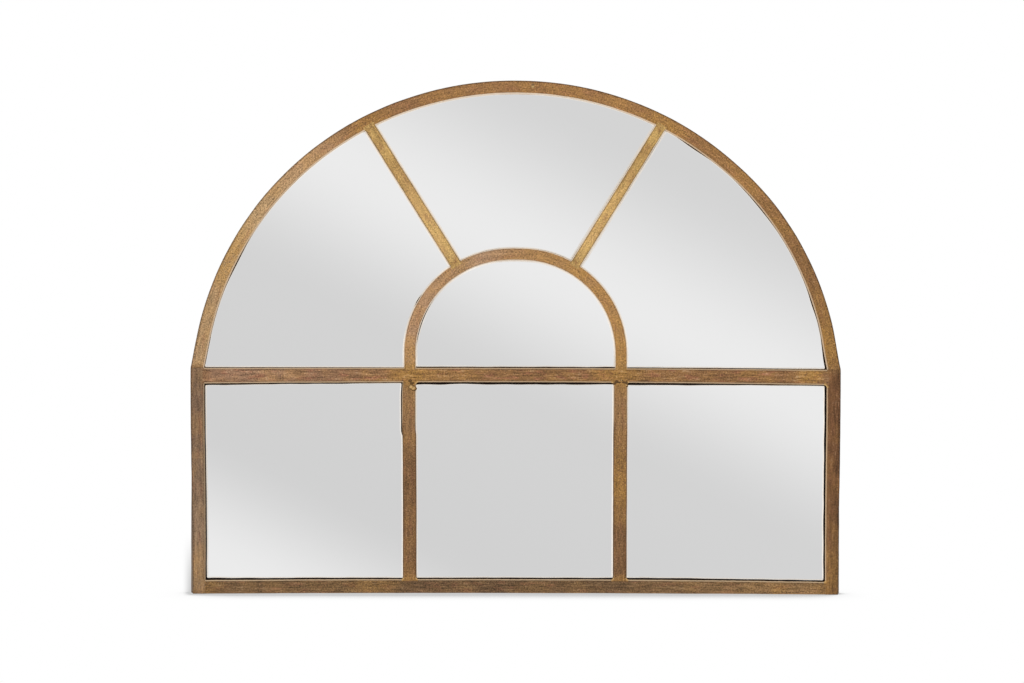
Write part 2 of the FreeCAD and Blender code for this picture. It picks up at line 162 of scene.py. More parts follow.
class Sheet:
    """A node tree that is written in code."""

    def __init__(self, tree: bpy.types.NodeTree) -> None:
        """Start on a tree."""
        self.tree = tree

    def add(
        self,
        kind: str,
        settings: Mapping[str, object] | None = None,
        values: Mapping[int | str, object] | None = None,
        out: int | str = 0,
    ) -> Wire:
        """Add a node, set it up and fill or link its sockets.

        Args:
            kind: The node's type.
            settings: The node's own properties. "stops" sets a colour ramp's places and colours,
                and "between" how it goes from one to the next.
            values: A value or a wire for each socket, by its number or name.
            out: The output that is wanted, by its number or name.

        Returns:
            The wanted output.
        """
        node = self.tree.nodes.new(kind)
        for name, setting in (settings or {}).items():
            if name == "stops":
                self._set_stops(node.color_ramp, setting)
            elif name == "between":
                node.color_ramp.interpolation = setting
            else:
                setattr(node, name, setting)
        for name, value in (values or {}).items():
            if isinstance(value, Wire):
                self.tree.links.new(value.socket, node.inputs[name])
            else:
                node.inputs[name].default_value = value
        return Wire(self, node.outputs[out]) if node.outputs else Wire(self, None)

    @staticmethod
    def _set_stops(scale: bpy.types.ColorRamp, stops: Sequence[tuple[float, Colour]]) -> None:
        """Give a colour ramp these stops."""
        while len(scale.elements) < len(stops):
            scale.elements.new(0.5)
        for element, (place, colour) in zip(scale.elements, stops):
            element.position = place
            element.color = colour

    def places(self) -> Wire:
        """Each point's own place on its object."""
        return self.add("ShaderNodeTexCoord", out="Object")

    def mark(self, name: str) -> Wire:
        """A number that the mesh carries under this name."""
        return self.add("ShaderNodeAttribute", {"attribute_name": name}, out="Fac")

    def cloud(self, place: Wire, grain: float, detail: float = 2.0, rough: float = 0.55) -> Wire:
        """Soft noise about a half.

        Args:
            place: Where it is read.
            grain: The size of its blots, in metres.
            detail: How many finer layers it has.
            rough: How strong those are.

        Returns:
            A number from about 0.2 to 0.8.
        """
        values = {"Vector": place, "Scale": 1 / grain, "Detail": detail, "Roughness": rough}
        return self.add("ShaderNodeTexNoise", None, values)

    def join(self, x: object, y: object, z: object) -> Wire:
        """A vector from three numbers."""
        return self.add("ShaderNodeCombineXYZ", None, {0: x, 1: y, 2: z})

    def part(self, vector: Wire, axis: int) -> Wire:
        """One number of a vector."""
        return self.add("ShaderNodeSeparateXYZ", None, {0: vector}, out=axis)

    def mix(self, share: object, low: object, high: object) -> Wire:
        """A colour between two."""
        settings = {"data_type": "RGBA"}
        return self.add("ShaderNodeMix", settings, {0: share, 6: low, 7: high}, out=2)

    def scaled(self, colour: Wire, factor: object) -> Wire:
        """A colour or vector times a number."""
        return self.add("ShaderNodeVectorMath", {"operation": "SCALE"}, {0: colour, 3: factor})

    def vector(self, kind: str, first: Wire, second: object, out: int | str = 0) -> Wire:
        """A Vector Math node on two vectors."""
        return self.add("ShaderNodeVectorMath", {"operation": kind}, {0: first, 1: second}, out)

    def near(self, place: Wire, point: Sequence[float], reach: float) -> Wire:
        """How near a place is to a point: 1 within a fifth of its reach and 0 beyond it."""
        return self.vector("DISTANCE", place, point, "Value").step(reach, reach * 0.2)

    def bump(self, height: Wire, depth: float, strength: float) -> Wire:
        """A normal from a height of 0 to 1."""
        values = {"Strength": strength, "Distance": depth, "Height": height}
        return self.add("ShaderNodeBump", None, values)

    def surface(self, shader: Wire) -> None:
        """Send a shader to the material's output."""
        self.add("ShaderNodeOutputMaterial", None, {0: shader})

    def coat(self, values: Mapping[str, object]) -> None:
        """End a material in a principled surface with these values."""
        self.surface(self.add("ShaderNodeBsdfPrincipled", None, values))


def material_sheet(name: str) -> tuple[Material, Sheet]:
    """A new material and its empty sheet."""
    material = bpy.data.materials.new(name)
    material.use_nodes = True
    material.node_tree.nodes.clear()
    return material, Sheet(material.node_tree)


@dataclass(frozen=True)
class AgedGilt:
    """Worn gilt over bronze-brown steel: fine grain, brush streaks, golden spots and bright flecks with a
    painted sparkle; painted shade on the rim, the edges, beside the lips and across the face; and lips worn
    to the metal with a painted highlight.

    A grain is the size of a pattern's blots. A range is where a pattern sets in and where it is full.
    A fade is how far from its edge a line is gone and where it is full. The lip's two fades and the
    line's beside it count from the lip's own edges. A squeeze draws a pattern out along the bar.
    """

    name: str
    tones: Stops
    joint: Colour = tone(140, 102, 66)
    # The lips' colours along the bar: metal worn through, with a painted highlight.
    lips: Stops = ((0.0, tone(224, 196, 160)),)
    # Painted shade across the bar: how much lighter the face grows per metre across, towards its lip.
    lean: float = 0.0
    golden: float = 0.25
    spotted: float = 0.5
    rosy: float = 0.25
    patchy: float = 0.2
    streaks: float = 0.5
    speckle: float = 0.55
    sparks: float = 0.15
    lip_inset: float = 0.5 * MM
    lip_width: float = 1.3 * MM
    lip_light: float = 0.6
    # How strong the painted shade is beside the lip, at the lip's edge, on the outer rim and in the seams,
    # and the rim's colour.
    lip_shade: float = 0.3
    edge_shade: float = 0.55
    rim_shade: float = 0.6
    # The colour of the rim's painted shade; a pale one makes a painted highlight instead.
    rim_tone: Colour = tone(60, 42, 26)
    seam_shade: float = 0.0
    patch_grain: float = 30 * MM
    stain_grain: float = 6 * MM
    mottle_grain: float = 4.5 * MM
    fleck_grain: float = 2.1 * MM
    streak_grain: float = 2.2 * MM
    streak_squeeze: float = 0.1
    stain_squeeze: float = 0.25
    patch_range: Flat = (0.42, 0.66)
    stain_range: Flat = (0.5, 0.68)
    olive_range: Flat = (0.5, 0.3)
    fresh_range: Flat = (0.25, 0.6)
    spark_range: Flat = (0.56, 0.68)
    contrast: float = 3.4
    patch_light: float = 0.3
    darkest: float = 0.35
    joint_cover: float = 0.85
    joint_fade: Flat = (11 * MM, 1 * MM)
    joint_wobble: float = 10 * MM
    wobble: Flat = (2.4 * MM, 1.6 * MM)
    lip_wobble_share: float = 0.4
    rim_fade: Flat = (2.8 * MM, 0.9 * MM)
    edge_fade: Flat = (2.0 * MM, 0.4 * MM)
    lip_far_fade: Flat = (0.6 * MM, -0.5 * MM)
    lip_near_fade: Flat = (-0.4 * MM, 0.1 * MM)
    beside_fade: Flat = (2.2 * MM, 0.6 * MM)
    seam_fade: Flat = (0.9 * MM, 0.2 * MM)
    spots: tuple[Triple, ...] = (
        (-0.152, 0.335, 0.05), (0.152, 0.335, 0.055), (-0.09, 0.486, 0.04), (0.093, 0.486, 0.04),
        (-0.212, 0.684, 0.045), (0.214, 0.684, 0.045), (0.452, 0.365, 0.06), (-0.42, 0.49, 0.06),
        (-0.467, 0.02, 0.06), (-0.21, 0.012, 0.06), (0.43, 0.318, 0.03), (0.468, 0.03, 0.06),
        (0.385, 0.004, 0.018), (0.152, 0.17, 0.09),
    )
    spot_depth: float = -12.5 * MM
    gold: Colour = tone(186, 140, 70)
    rose: Colour = tone(168, 110, 84)
    olive: Colour = tone(104, 84, 48)
    # The dark of the painted shade at the edges, beside the lips and in the seams.
    umber: Colour = tone(60, 42, 26)
    # Worn metal for the bright flecks, which also stands for their painted sparkle.
    bare_and_sheen: Colour = tone(224, 196, 160)
    metal: float = 0.45
    rough: float = 0.5
    shine: float = 0.25
    relief: float = 0.4 * MM

    def build(self) -> Material:
        """Make the material."""
        material, sheet = material_sheet(self.name)
        place = sheet.places()
        along, across = sheet.mark("along"), sheet.mark("across")
        depth = sheet.part(place, 1)
        run = sheet.join(along * self.streak_squeeze, across, depth)
        slow = sheet.join(along * self.stain_squeeze, across, depth)
        patch = sheet.cloud(place, self.patch_grain, 2.0)
        stain = sheet.cloud(slow, self.stain_grain, 3.0)
        mottle = sheet.cloud(place, self.mottle_grain, 3.0, 0.6)
        fleck = sheet.cloud(place, self.fleck_grain, 3.0, 0.75)
        streak = sheet.cloud(run, self.streak_grain, 3.0, 0.7)
        colour = self._run(sheet, along, self.tones)
        colour = sheet.mix(patch.step(*self.patch_range) * self.golden, colour, self.gold)
        colour = sheet.mix(stain.step(*self.stain_range) * self.rosy, colour, self.rose)
        colour = sheet.mix(mottle.step(*self.olive_range) * self.patchy, colour, self.olive)
        seam = SEAM_REACH - sheet.mark("near_seam") + (mottle - 0.5) * self.joint_wobble
        colour = sheet.mix(seam.step(*self.joint_fade) * self.joint_cover, colour, self.joint)
        fresh = self._fresh(sheet, place) * mottle.step(*self.fresh_range)
        colour = sheet.mix(fresh * self.spotted, colour, self.gold)
        # Brightness from grain, streaks and patches, with the painted shade across the bar.
        light = (fleck - 0.5) * (self.contrast * self.speckle)
        light = light + (streak - 0.5) * (self.contrast * self.streaks)
        light = light + (patch - 0.5) * self.patch_light + across * self.lean
        colour = sheet.scaled(colour, (light + 1).most(self.darkest))
        # Bright flecks: worn metal, and also a painted sparkle.
        sparks = streak * self.streaks + fleck * (1 - self.streaks) + (mottle - 0.5) * 0.5
        colour = sheet.mix(sparks.step(*self.spark_range) * self.sparks, colour, self.bare_and_sheen)
        colour = self._edges(sheet, colour, fleck, mottle, self._run(sheet, along, self.lips))
        height = fleck * 0.5 + streak * self.streaks + mottle * 0.35
        values = {
            "Base Color": colour,
            "Metallic": self.metal,
            "Roughness": self.rough + (mottle - 0.5) * 0.25,
            "Specular IOR Level": self.shine,
            "Normal": sheet.bump(height, self.relief, 0.6),
        }
        sheet.coat(values)
        return material

    @staticmethod
    def _run(sheet: Sheet, along: Wire, stops: Stops) -> Wire | Colour:
        """A colour that changes along the bar, from stops at metres from its start."""
        if len(stops) == 1:
            return stops[0][1]
        shares = [(place / LONGEST, colour) for place, colour in stops]
        return sheet.add("ShaderNodeValToRGB", {"stops": shares}, {0: along / LONGEST})

    def _fresh(self, sheet: Sheet, place: Wire) -> Wire:
        """How much fresher gilt lies on a place, most of it about the welds."""
        share = sheet.near(place, (0, 0, 0), 1 * MM)
        for x, z, reach in self.spots:
            share = share.most(sheet.near(place, (x, self.spot_depth, z), reach))
        return share

    def _edges(self, sheet: Sheet, colour: Wire, fleck: Wire, mottle: Wire, bare_and_sheen: Wire | Colour) -> Wire:
        """Paint shade on the rim, the edge, the lines beside the lip and the seams, and a painted highlight
        on the worn lip.
        """
        wobble = (mottle - 0.5) * self.wobble[0] + (fleck - 0.5) * self.wobble[1]
        to_rim = MARK_REACH - sheet.mark("near_rim") + wobble
        to_lip = MARK_REACH - sheet.mark("near_lip") + wobble * self.lip_wobble_share
        start, end = self.lip_inset, self.lip_inset + self.lip_width
        rim, edge = to_rim.step(*self.rim_fade), to_lip.step(*self.edge_fade)
        lip = to_lip.step(*[end + reach for reach in self.lip_far_fade])
        lip = lip * to_lip.step(*[start + reach for reach in self.lip_near_fade])
        inside = to_lip.step(*[end + reach for reach in self.beside_fade])
        seam = SEAM_REACH - sheet.mark("near_seam") + wobble * self.lip_wobble_share
        colour = sheet.mix(rim * self.rim_shade, colour, self.rim_tone)
        colour = sheet.mix(inside * self.lip_shade, colour, self.umber)
        colour = sheet.mix(edge * self.edge_shade, colour, self.umber)
        colour = sheet.mix(lip * self.lip_light, colour, bare_and_sheen)
        return sheet.mix(seam.step(*self.seam_fade) * self.seam_shade, colour, self.umber)


@dataclass(frozen=True)
class SilveredGlass:
    """A pane: silvered seen from the front, green at its edges and painted grey behind."""

    name: str = "silvered_glass"
    silver: Colour = tone(249, 249, 249)
    edge: Colour = tone(92, 128, 112)
    paint: Colour = tone(120, 124, 126)
    front_rough: float = 0.015
    edge_rough: float = 0.3
    back_rough: float = 0.6
    haze_grain: float = 120 * MM
    haze_rough: float = 0.006

    def build(self) -> Material:
        """Make the material."""
        material, sheet = material_sheet(self.name)
        facing = sheet.part(sheet.add("ShaderNodeNewGeometry", out="Normal"), 1)
        front, back = facing.step(-0.5, -0.9), facing.step(0.5, 0.9)
        haze = (sheet.cloud(sheet.places(), self.haze_grain, 1.0) - 0.5) * self.haze_rough
        smoother, rougher = self.edge_rough - self.front_rough, self.back_rough - self.edge_rough
        values = {
            "Base Color": sheet.mix(back, sheet.mix(front, self.edge, self.silver), self.paint),
            "Metallic": front,
            "Roughness": self.edge_rough - front * smoother + back * rougher + haze,
        }
        sheet.coat(values)
        return material


@dataclass(frozen=True)
class PlainFinish:
    """A quiet finish: two near colours in blots, finer specks and a fine bump."""

    name: str
    first: Colour
    second: Colour
    blot: float = 10 * MM
    speck: float = 1.2 * MM
    rough: float = 0.55
    metal: float = 0.0
    relief: float = 0.2 * MM
    grain: float = 0.4
    shine: float = 0.5
    stretch: Triple = (1.0, 1.0, 1.0)

    def build(self) -> Material:
        """Make the material."""
        material, sheet = material_sheet(self.name)
        place = sheet.vector("MULTIPLY", sheet.places(), self.stretch)
        blots = sheet.cloud(place, self.blot, 3.0)
        specks = sheet.cloud(place, self.speck, 2.0, 0.7)
        colour = sheet.mix(blots.step(0.35, 0.65), self.first, self.second)
        values = {
            "Base Color": sheet.scaled(colour, 1 + (specks - 0.5) * self.grain),
            "Metallic": self.metal,
            "Roughness": self.rough + (blots - 0.5) * 0.2,
            "Specular IOR Level": self.shine,
            "Normal": sheet.bump(specks, self.relief, 0.5),
        }
        sheet.coat(values)
        return material


def gilt_finishes() -> dict[str, AgedGilt]:
    """The bars' finishes, each with its own tones along the bar."""
    # Lip colours and settings for the bars whose worn lips carry a strong painted highlight.
    tan, pale = tone(214, 186, 154), tone(244, 226, 204)
    bright = {"lip_inset": -1 * MM, "edge_shade": 0.0, "streaks": 0.35, "lip_light": 0.92, "patchy": 0.2}
    return {
        "left_stile": AgedGilt(
            "gilt_left_stile", ramp((0.08, 154, 126, 99), (0.24, 131, 104, 82)), tone(138, 108, 80),
            golden=0.15, spotted=0.3, speckle=0.75, lip_light=0.35, seam_shade=0.3,
        ),
        "right_stile": AgedGilt(
            "gilt_right_stile", ramp((0.14, 119, 82, 53), (0.3, 127, 92, 58)), tone(124, 90, 58),
            ramp((0.0, 226, 194, 156)),
            # Painted shade across the face, lighter towards the inner edge.
            22.0,
            golden=0.12, rosy=0.15, patchy=0.15, spotted=0.3, speckle=0.65, rim_shade=0.35,
            lip_inset=0.0, lip_light=0.8, lip_shade=0.0, edge_shade=0.3, seam_shade=0.35,
        ),
        "base_rail": AgedGilt(
            "gilt_base_rail",
            ramp((0.14, 148, 115, 78), (0.36, 117, 90, 63), (0.64, 116, 89, 63), (0.74, 123, 95, 66)),
            tone(126, 95, 64),
            # Painted shade across the face, lighter towards the lower edge, and a pale rim that is a painted
            # highlight.
            lean=-4.0, golden=0.1, spotted=0.3, streaks=0.65, speckle=1.1, rim_shade=0.15,
            rim_tone=tone(172, 142, 114), lip_light=0.75,
        ),
        "mid_rail": AgedGilt(
            "gilt_mid_rail", ramp((0.12, 159, 122, 95), (0.3, 149, 109, 71)), tone(138, 102, 72),
            rosy=0.6, spotted=0.65, streaks=0.65, speckle=0.95, sparks=0.35,
        ),
        "muntin": AgedGilt(
            "gilt_muntin", ramp((0.17, 132, 97, 64), (0.23, 152, 115, 77)), tone(162, 121, 70),
            # The muntins' lips: painted shade low down, a painted highlight higher up.
            ramp((0.225, 112, 84, 60), (0.24, 226, 200, 168)),
            golden=0.15, rosy=0.2, patchy=0.15, streaks=0.4, speckle=1.1, lip_inset=-1 * MM,
            lip_width=1.9 * MM, lip_light=0.65, lip_shade=0.1, edge_shade=0.5,
        ),
        "arch": AgedGilt(
            "gilt_arch",
            ramp(
                (0.12, 182, 148, 108), (0.27, 196, 162, 118), (0.4, 190, 151, 111), (0.48, 157, 115, 76),
                (0.9, 165, 121, 76), (1.1, 160, 118, 73), (1.26, 144, 105, 65),
            ),
            tone(142, 106, 70),
            ((0.35, tan), (0.55, pale), (0.85, pale), (1.0, tan)),
            speckle=1.05, lip_width=2.8 * MM, lip_shade=0.1,
            **bright,
        ),
        "inner_arch": AgedGilt(
            "gilt_inner_arch",
            ramp((0.08, 184, 145, 110), (0.21, 186, 149, 116), (0.26, 177, 136, 94), (0.4, 182, 138, 87)),
            tone(162, 124, 78),
            ((0.0, pale),),
            golden=0.3, speckle=1.0, lip_width=2.0 * MM, lip_shade=0.2,
            **bright,
        ),
        "spoke": AgedGilt(
            "gilt_spoke",
            ramp((0.01, 186, 147, 100), (0.04, 211, 171, 112), (0.1, 210, 170, 109), (0.18, 186, 147, 91)),
            tone(152, 112, 70),
            ((0.0, pale),),
            golden=0.4, speckle=0.85, lip_width=2.2 * MM, lip_shade=0.5, gold=tone(220, 184, 112),
            **bright,
        ),
        "weld": AgedGilt(
            "gilt_weld",
            ramp((0.0, 160, 118, 68)),
            # Painted highlight on the fillets' lips and the lumps' tops; the lumps' feet get a painted shade
            # from the rim.
            lips=ramp((0.0, 222, 186, 128)),
            patchy=0.4, streaks=0.0, lip_light=0.7, lip_shade=0.0, edge_shade=0.0, rim_shade=0.75,
            umber=tone(118, 68, 32),
        ),
    }


def plain_finishes() -> dict[str, PlainFinish]:
    """The finishes of the bead, the tape, the back and the hardware."""
    clear, pearl = tone(255, 247, 238), tone(254, 243, 232)
    black, soot = tone(24, 16, 12), tone(34, 25, 20)
    zinc, dull = tone(178, 181, 183), tone(166, 169, 172)
    steel, dim = tone(214, 214, 210), tone(204, 204, 200)
    paint, dark_paint = tone(104, 80, 56), tone(84, 64, 46)
    board = {"speck": 1.6 * MM, "grain": 0.7, "rough": 0.6, "relief": 0.4 * MM, "stretch": (0.3, 1.0, 1.0)}
    return {
        # The glazing bead: near-white metal that makes a painted highlight line along each pane's edge.
        "bead": PlainFinish("clear_bead", clear, pearl, rough=0.16, metal=1.0, relief=0.01 * MM),
        "tape": PlainFinish("black_tape", black, soot, rough=0.8, relief=0.05 * MM, shine=0.1),
        "foam": PlainFinish("white_foam", grey(225), grey(210), speck=0.8 * MM, rough=0.9),
        "rubber": PlainFinish("black_rubber", grey(30), grey(42), rough=0.7, relief=0.1 * MM),
        "board": PlainFinish("hardboard", tone(124, 90, 62), tone(116, 83, 56), blot=7 * MM, **board),
        "zinc": PlainFinish("zinc_plate", zinc, dull, blot=6 * MM, rough=0.36, metal=1.0, grain=0.12),
        "steel": PlainFinish("bright_steel", steel, dim, blot=4 * MM, rough=0.24, metal=1.0, grain=0.1),
        "boss": PlainFinish("bronze_paint", paint, dark_paint, blot=4 * MM, rough=0.5),
    }


def make_finishes() -> Finishes:
    """Build every material of the mirror once."""
    finishes = {**gilt_finishes(), "glass": SilveredGlass(), **plain_finishes()}
    return {name: finish.build() for name, finish in finishes.items()}


@dataclass(frozen=True)
class FrameSizes:
    """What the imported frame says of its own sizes."""

    half_width: float
    height: float
    springing: float
    bar: float
    muntin: float
    front: float
    face_back: float
    glass_front: float
    web_back: float
    panel_back: float
    leg_back: float
    leg: float = 3 * MM

    @classmethod
    def read(cls) -> "FrameSizes":
        """Measure the nodes."""
        arch_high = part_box("outer_arch")[1]
        rail_low, rail_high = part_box("mid_rail")
        muntin_low, muntin_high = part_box("right_muntin")
        return cls(
            half_width=arch_high.x,
            height=arch_high.z,
            springing=rail_high.z,
            bar=rail_high.z - rail_low.z,
            muntin=(muntin_low.x + muntin_high.x) / 2,
            front=rail_low.y,
            face_back=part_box("tape_inner_arch")[0].y,
            glass_front=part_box("mirror_inner_arch")[0].y,
            web_back=rail_high.y,
            panel_back=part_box("back_panel")[1].y,
            leg_back=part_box("bottom_rail")[1].y,
        )


class ArchLine:
    """A three-centred arch: a flat crown arc, two side arcs and straight ends.

    An angle says how far the outward normal leans from straight up, negative on the left.
    An offset moves the line inward.
    """

    def __init__(
        self,
        half_span: float,
        foot: float,
        top: float,
        crown_radius: float,
        crown_angle: float,
        end_angle: float,
    ) -> None:
        """Work out the side arcs.

        Args:
            half_span: Half the width at the foot.
            foot: The height of the foot.
            top: The height of the crown.
            crown_radius: The crown arc's radius.
            crown_angle: Half of the crown arc's turn, in degrees.
            end_angle: Where the straight ends begin, in degrees.
        """
        turn = math.radians(end_angle - crown_angle)
        crown, end = math.radians(crown_angle), math.radians(end_angle)
        self.crown_angle = crown_angle
        self.end_angle = end_angle
        self.crown_radius = crown_radius
        self.crown_z = top - crown_radius
        reach = half_span * math.sin(end) + (foot - self.crown_z) * math.cos(end)
        self.side_radius = (reach - crown_radius * math.cos(turn)) / (1 - math.cos(turn))
        self.side_x = (crown_radius - self.side_radius) * math.sin(crown)
        self.side_z = self.crown_z + (crown_radius - self.side_radius) * math.cos(crown)

    def point(self, angle: float, offset: float) -> Flat:
        """The point of the line where its normal leans by this angle."""
        if abs(angle) < self.crown_angle:
            radius, x, z = self.crown_radius - offset, 0.0, self.crown_z
        else:
            radius, x, z = self.side_radius - offset, math.copysign(self.side_x, angle), self.side_z
        lean = math.radians(angle)
        return x + radius * math.sin(lean), z + radius * math.cos(lean)

    def foot_point(self, side: int, offset: float, level: float) -> Flat:
        """Where a straight end, run on down, comes to this level."""
        x, z = self.point(side * self.end_angle, offset)
        lean = 1 / math.tan(math.radians(self.end_angle))
        return x + side * (z - level) * lean, level

    def trace(self, start: float, end: float, offset: float, spacing: float = 3 * MM) -> list[Flat]:
        """Points along the arcs from one angle to another, a spacing apart."""
        length = abs(math.radians(end - start)) * (self.side_radius - offset)
        count = max(2, round(length / spacing))
        return [self.point(start + (end - start) * i / count, offset) for i in range(count + 1)]

    def whole(self, offset: float, level: float) -> list[Flat]:
        """Points of the whole line from the left to the right, with its straight ends down to a level."""
        bow = self.trace(-self.end_angle, self.end_angle, offset)
        left, right = [self.foot_point(side, offset, level) for side in SIDES.values()]
        return straight(left, bow[0])[:-1] + bow + straight(bow[-1], right)[1:]


@dataclass(frozen=True)
class Layout:
    """Where the bars run, from the frame's sizes and the arches' shares, and how wide their faces look."""

    sizes: FrameSizes
    crown_flatness_share: float = 1.034
    crown_half_angle: float = 20.7
    end_turn_share: float = 0.943
    inner_bar: float = 18 * MM
    inner_crown_radius_share: float = 1.94
    inner_crown_half_angle: float = 3.2
    spoke_angle: float = 31.8
    spoke_centre_rise: float = 11 * MM
    stile_face: float = 20.5 * MM
    base_face: float = 20.8 * MM
    mid_face: float = 20.8 * MM
    muntin_face: float = 20.2 * MM
    arch_face: float = 19.6 * MM
    inner_face: float = 18.2 * MM
    spoke_face: float = 18.8 * MM
    right_spoke_trim: float = 1.9 * MM
    inner_spread: float = 0.1 * MM

    def outer(self) -> ArchLine:
        """The outer edge of the frame's arch."""
        sizes = self.sizes
        rise = sizes.height - sizes.springing
        radius = (sizes.half_width**2 + rise**2) / (2 * rise)
        foot_angle = math.degrees(math.acos((radius - rise) / radius))
        crown = radius * self.crown_flatness_share
        end = foot_angle * self.end_turn_share
        return ArchLine(sizes.half_width, sizes.springing, sizes.height, crown, self.crown_half_angle, end)

    def inner(self) -> ArchLine:
        """The middle of the inner arch's bar."""
        sizes, spread = self.sizes, self.inner_spread
        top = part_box("inner_arch")[1].z - self.inner_bar / 2 + spread
        crown, turn = sizes.muntin * self.inner_crown_radius_share, self.inner_crown_half_angle
        return ArchLine(sizes.muntin + spread, sizes.springing, top, crown, turn, 90.0)

    def spoke_point(self, side: int, reach: float) -> Flat:
        """A point on the right or left spoke's middle line, a reach from the spokes' centre."""
        lean = math.radians(self.spoke_angle)
        up = self.sizes.springing + self.spoke_centre_rise + reach * math.cos(lean)
        return side * reach * math.sin(lean), up

    def spoke_meets(self, line: ArchLine, offset: float, lateral: float) -> float:
        """The angle at which an arch line crosses a line beside the right spoke."""
        lean = math.radians(self.spoke_angle)
        base = self.sizes.springing + self.spoke_centre_rise
        low, high = 0.0, 80.0
        for _ in range(40):
            middle = (low + high) / 2
            x, z = line.point(middle, offset)
            if x * math.cos(lean) - (z - base) * math.sin(lean) < lateral:
                low = middle
            else:
                high = middle
        return low

    def edges(self) -> tuple[float, float, float, float, float]:
        """Where the lower sights end: at the stiles, the base, the rail and a muntin's two sides."""
        sizes, half = self.sizes, self.muntin_face / 2
        low, high = self.base_face, sizes.springing - self.mid_face
        return sizes.half_width - self.stile_face, low, high, sizes.muntin - half, sizes.muntin + half


@dataclass(frozen=True)
class HandDrift:
    """How far the handmade front strays: bowed rails, leaning stiles, a swung spoke, a full haunch.

    Each rail edge has how far its left end, its middle and its right end stand above their level.
    A span of four numbers says where a drift starts, where it is full, where it wanes and where it ends.
    A reach says how far off a bar it ends and where it is full.
    """

    sizes: FrameSizes
    base_low: Triple = (0.0, 1.7 * MM, 0.0)
    base_high: Triple = (-0.8 * MM, 1.5 * MM, -2.2 * MM)
    rail_low: Triple = (-2.8 * MM, 0.0, -3.9 * MM)
    rail_high: Triple = (0.0, 0.7 * MM, -1.6 * MM)
    lean_foot: Flat = (3.1 * MM, 2.1 * MM)
    lean_top: Flat = (0.6 * MM, 0.0)
    lean_low_share: float = 0.2
    lean_high_share: float = 0.95
    foot_taper: float = 1.3 * MM
    foot_taper_share: float = 0.6
    muntin_shift: float = 1.1 * MM
    muntin_slip: float = 0.9 * MM
    slip_reach: Flat = (30 * MM, 14 * MM)
    slip_span: Span = (0.231, 0.241, 0.29, 0.31)
    sag_fade: float = 150 * MM
    haunch_swell: float = 1.4 * MM
    haunch_inner_share: float = 1.8
    haunch_span: Span = (0.335, 0.4, 0.56, 0.64)
    spoke_swing: float = 1.6 * MM
    spoke_line: Span = (-0.09, 0.486, -0.212, 0.684)
    swing_reach: Flat = (45 * MM, 15 * MM)
    swing_span: Span = (-0.2, 1.0, 1.1, 1.5)

    @staticmethod
    def _ease(value: float, low: float, high: float) -> float:
        """A smooth rise from 0 at low to 1 at high, or a fall where low is the larger."""
        share = min(1.0, max(0.0, (value - low) / (high - low)))
        return share * share * (3 - 2 * share)

    def _within(self, value: float, span: Span) -> float:
        """How far a value lies within a span: 0 outside and 1 where it is full."""
        start, full, wane, end = span
        return self._ease(value, start, full) * self._ease(value, end, wane)

    def _rise(self, x: float, z: float) -> float:
        """How far a point of the rails' zone moves up."""
        sizes, out = self.sizes, min(1.0, abs(x) / self.sizes.half_width) ** 2
        top, bar = sizes.springing, sizes.bar
        levels = (0.0, bar, top - bar, top, top + self.sag_fade)
        edges = (self.base_low, self.base_high, self.rail_low, self.rail_high, (0.0, 0.0, 0.0))
        rises = [middle + ((left if x < 0 else right) - middle) * out for left, middle, right in edges]
        for (low, high), (first, last) in zip(zip(levels, levels[1:]), zip(rises, rises[1:])):
            if z <= high:
                return first + (last - first) * max(0.0, (z - low) / (high - low))
        return 0.0

    def _inward(self, x: float, z: float) -> float:
        """How far a point on a stile's edge leans in."""
        sizes, side = self.sizes, int(x >= 0)
        top, outer = sizes.springing, sizes.half_width - sizes.bar
        foot, head = self.lean_foot[side], self.lean_top[side]
        fall = self._ease(z, self.lean_high_share * top, self.lean_low_share * top)
        lean = (head + (foot - head) * fall) * self._ease(z, top + 2 * sizes.bar, top)
        taper = self._ease(z, self.foot_taper_share * top, 0) * self._ease(abs(x), outer, sizes.half_width)
        return lean + self.foot_taper * taper

    def shift(self, x: float, z: float) -> Flat:
        """How far a point of the front moves.

        Args:
            x: How far right of the middle it is.
            z: How high it is.

        Returns:
            How far it moves to the right, and up.
        """
        sizes = self.sizes
        top = sizes.springing
        sideways, up = -x / sizes.half_width * self._inward(x, z), self._rise(x, z)
        if z < top:
            fade = min(1.0, (top - z) / sizes.bar)
            sideways -= self.muntin_shift * max(0.0, 1 - (x / (2 * sizes.muntin)) ** 2) * fade
            beside = self._ease(abs(x + sizes.muntin), *self.slip_reach)
            sideways -= self.muntin_slip * self._within(z, self.slip_span) * beside
        swell = self.haunch_swell * self._within(z, self.haunch_span)
        swell *= self._ease(x, sizes.muntin, self.haunch_inner_share * sizes.muntin)
        reach = math.hypot(x, z - top) or 1.0
        swing = self._swing(x, z)
        return sideways + swell * x / reach - swing[0], up + swell * (z - top) / reach - swing[1]

    def _swing(self, x: float, z: float) -> Flat:
        """How far a point beside the left spoke moves with it."""
        foot_x, foot_z, head_x, head_z = self.spoke_line
        run = Vector((head_x - foot_x, head_z - foot_z))
        off = Vector((x - foot_x, z - foot_z))
        aside, share = abs(off.cross(run)) / run.length, off.dot(run) / run.length_squared
        weight = self._ease(aside, *self.swing_reach) * self._within(share, self.swing_span)
        swing = self.spoke_swing * weight
        return swing * run.y / run.length, -swing * run.x / run.length

    def bend(self, piece: Piece) -> None:
        """Move a piece's front along, and its back less and less."""
        sizes = self.sizes
        for vertex in piece.data.vertices:
            x, y, z = vertex.co
            weight = 1 - min(1.0, max(0.0, (y - sizes.glass_front) / (sizes.panel_back - sizes.glass_front)))
            sideways, up = self.shift(x, z)
            vertex.co = (x + sideways * weight, y, z + up * weight)


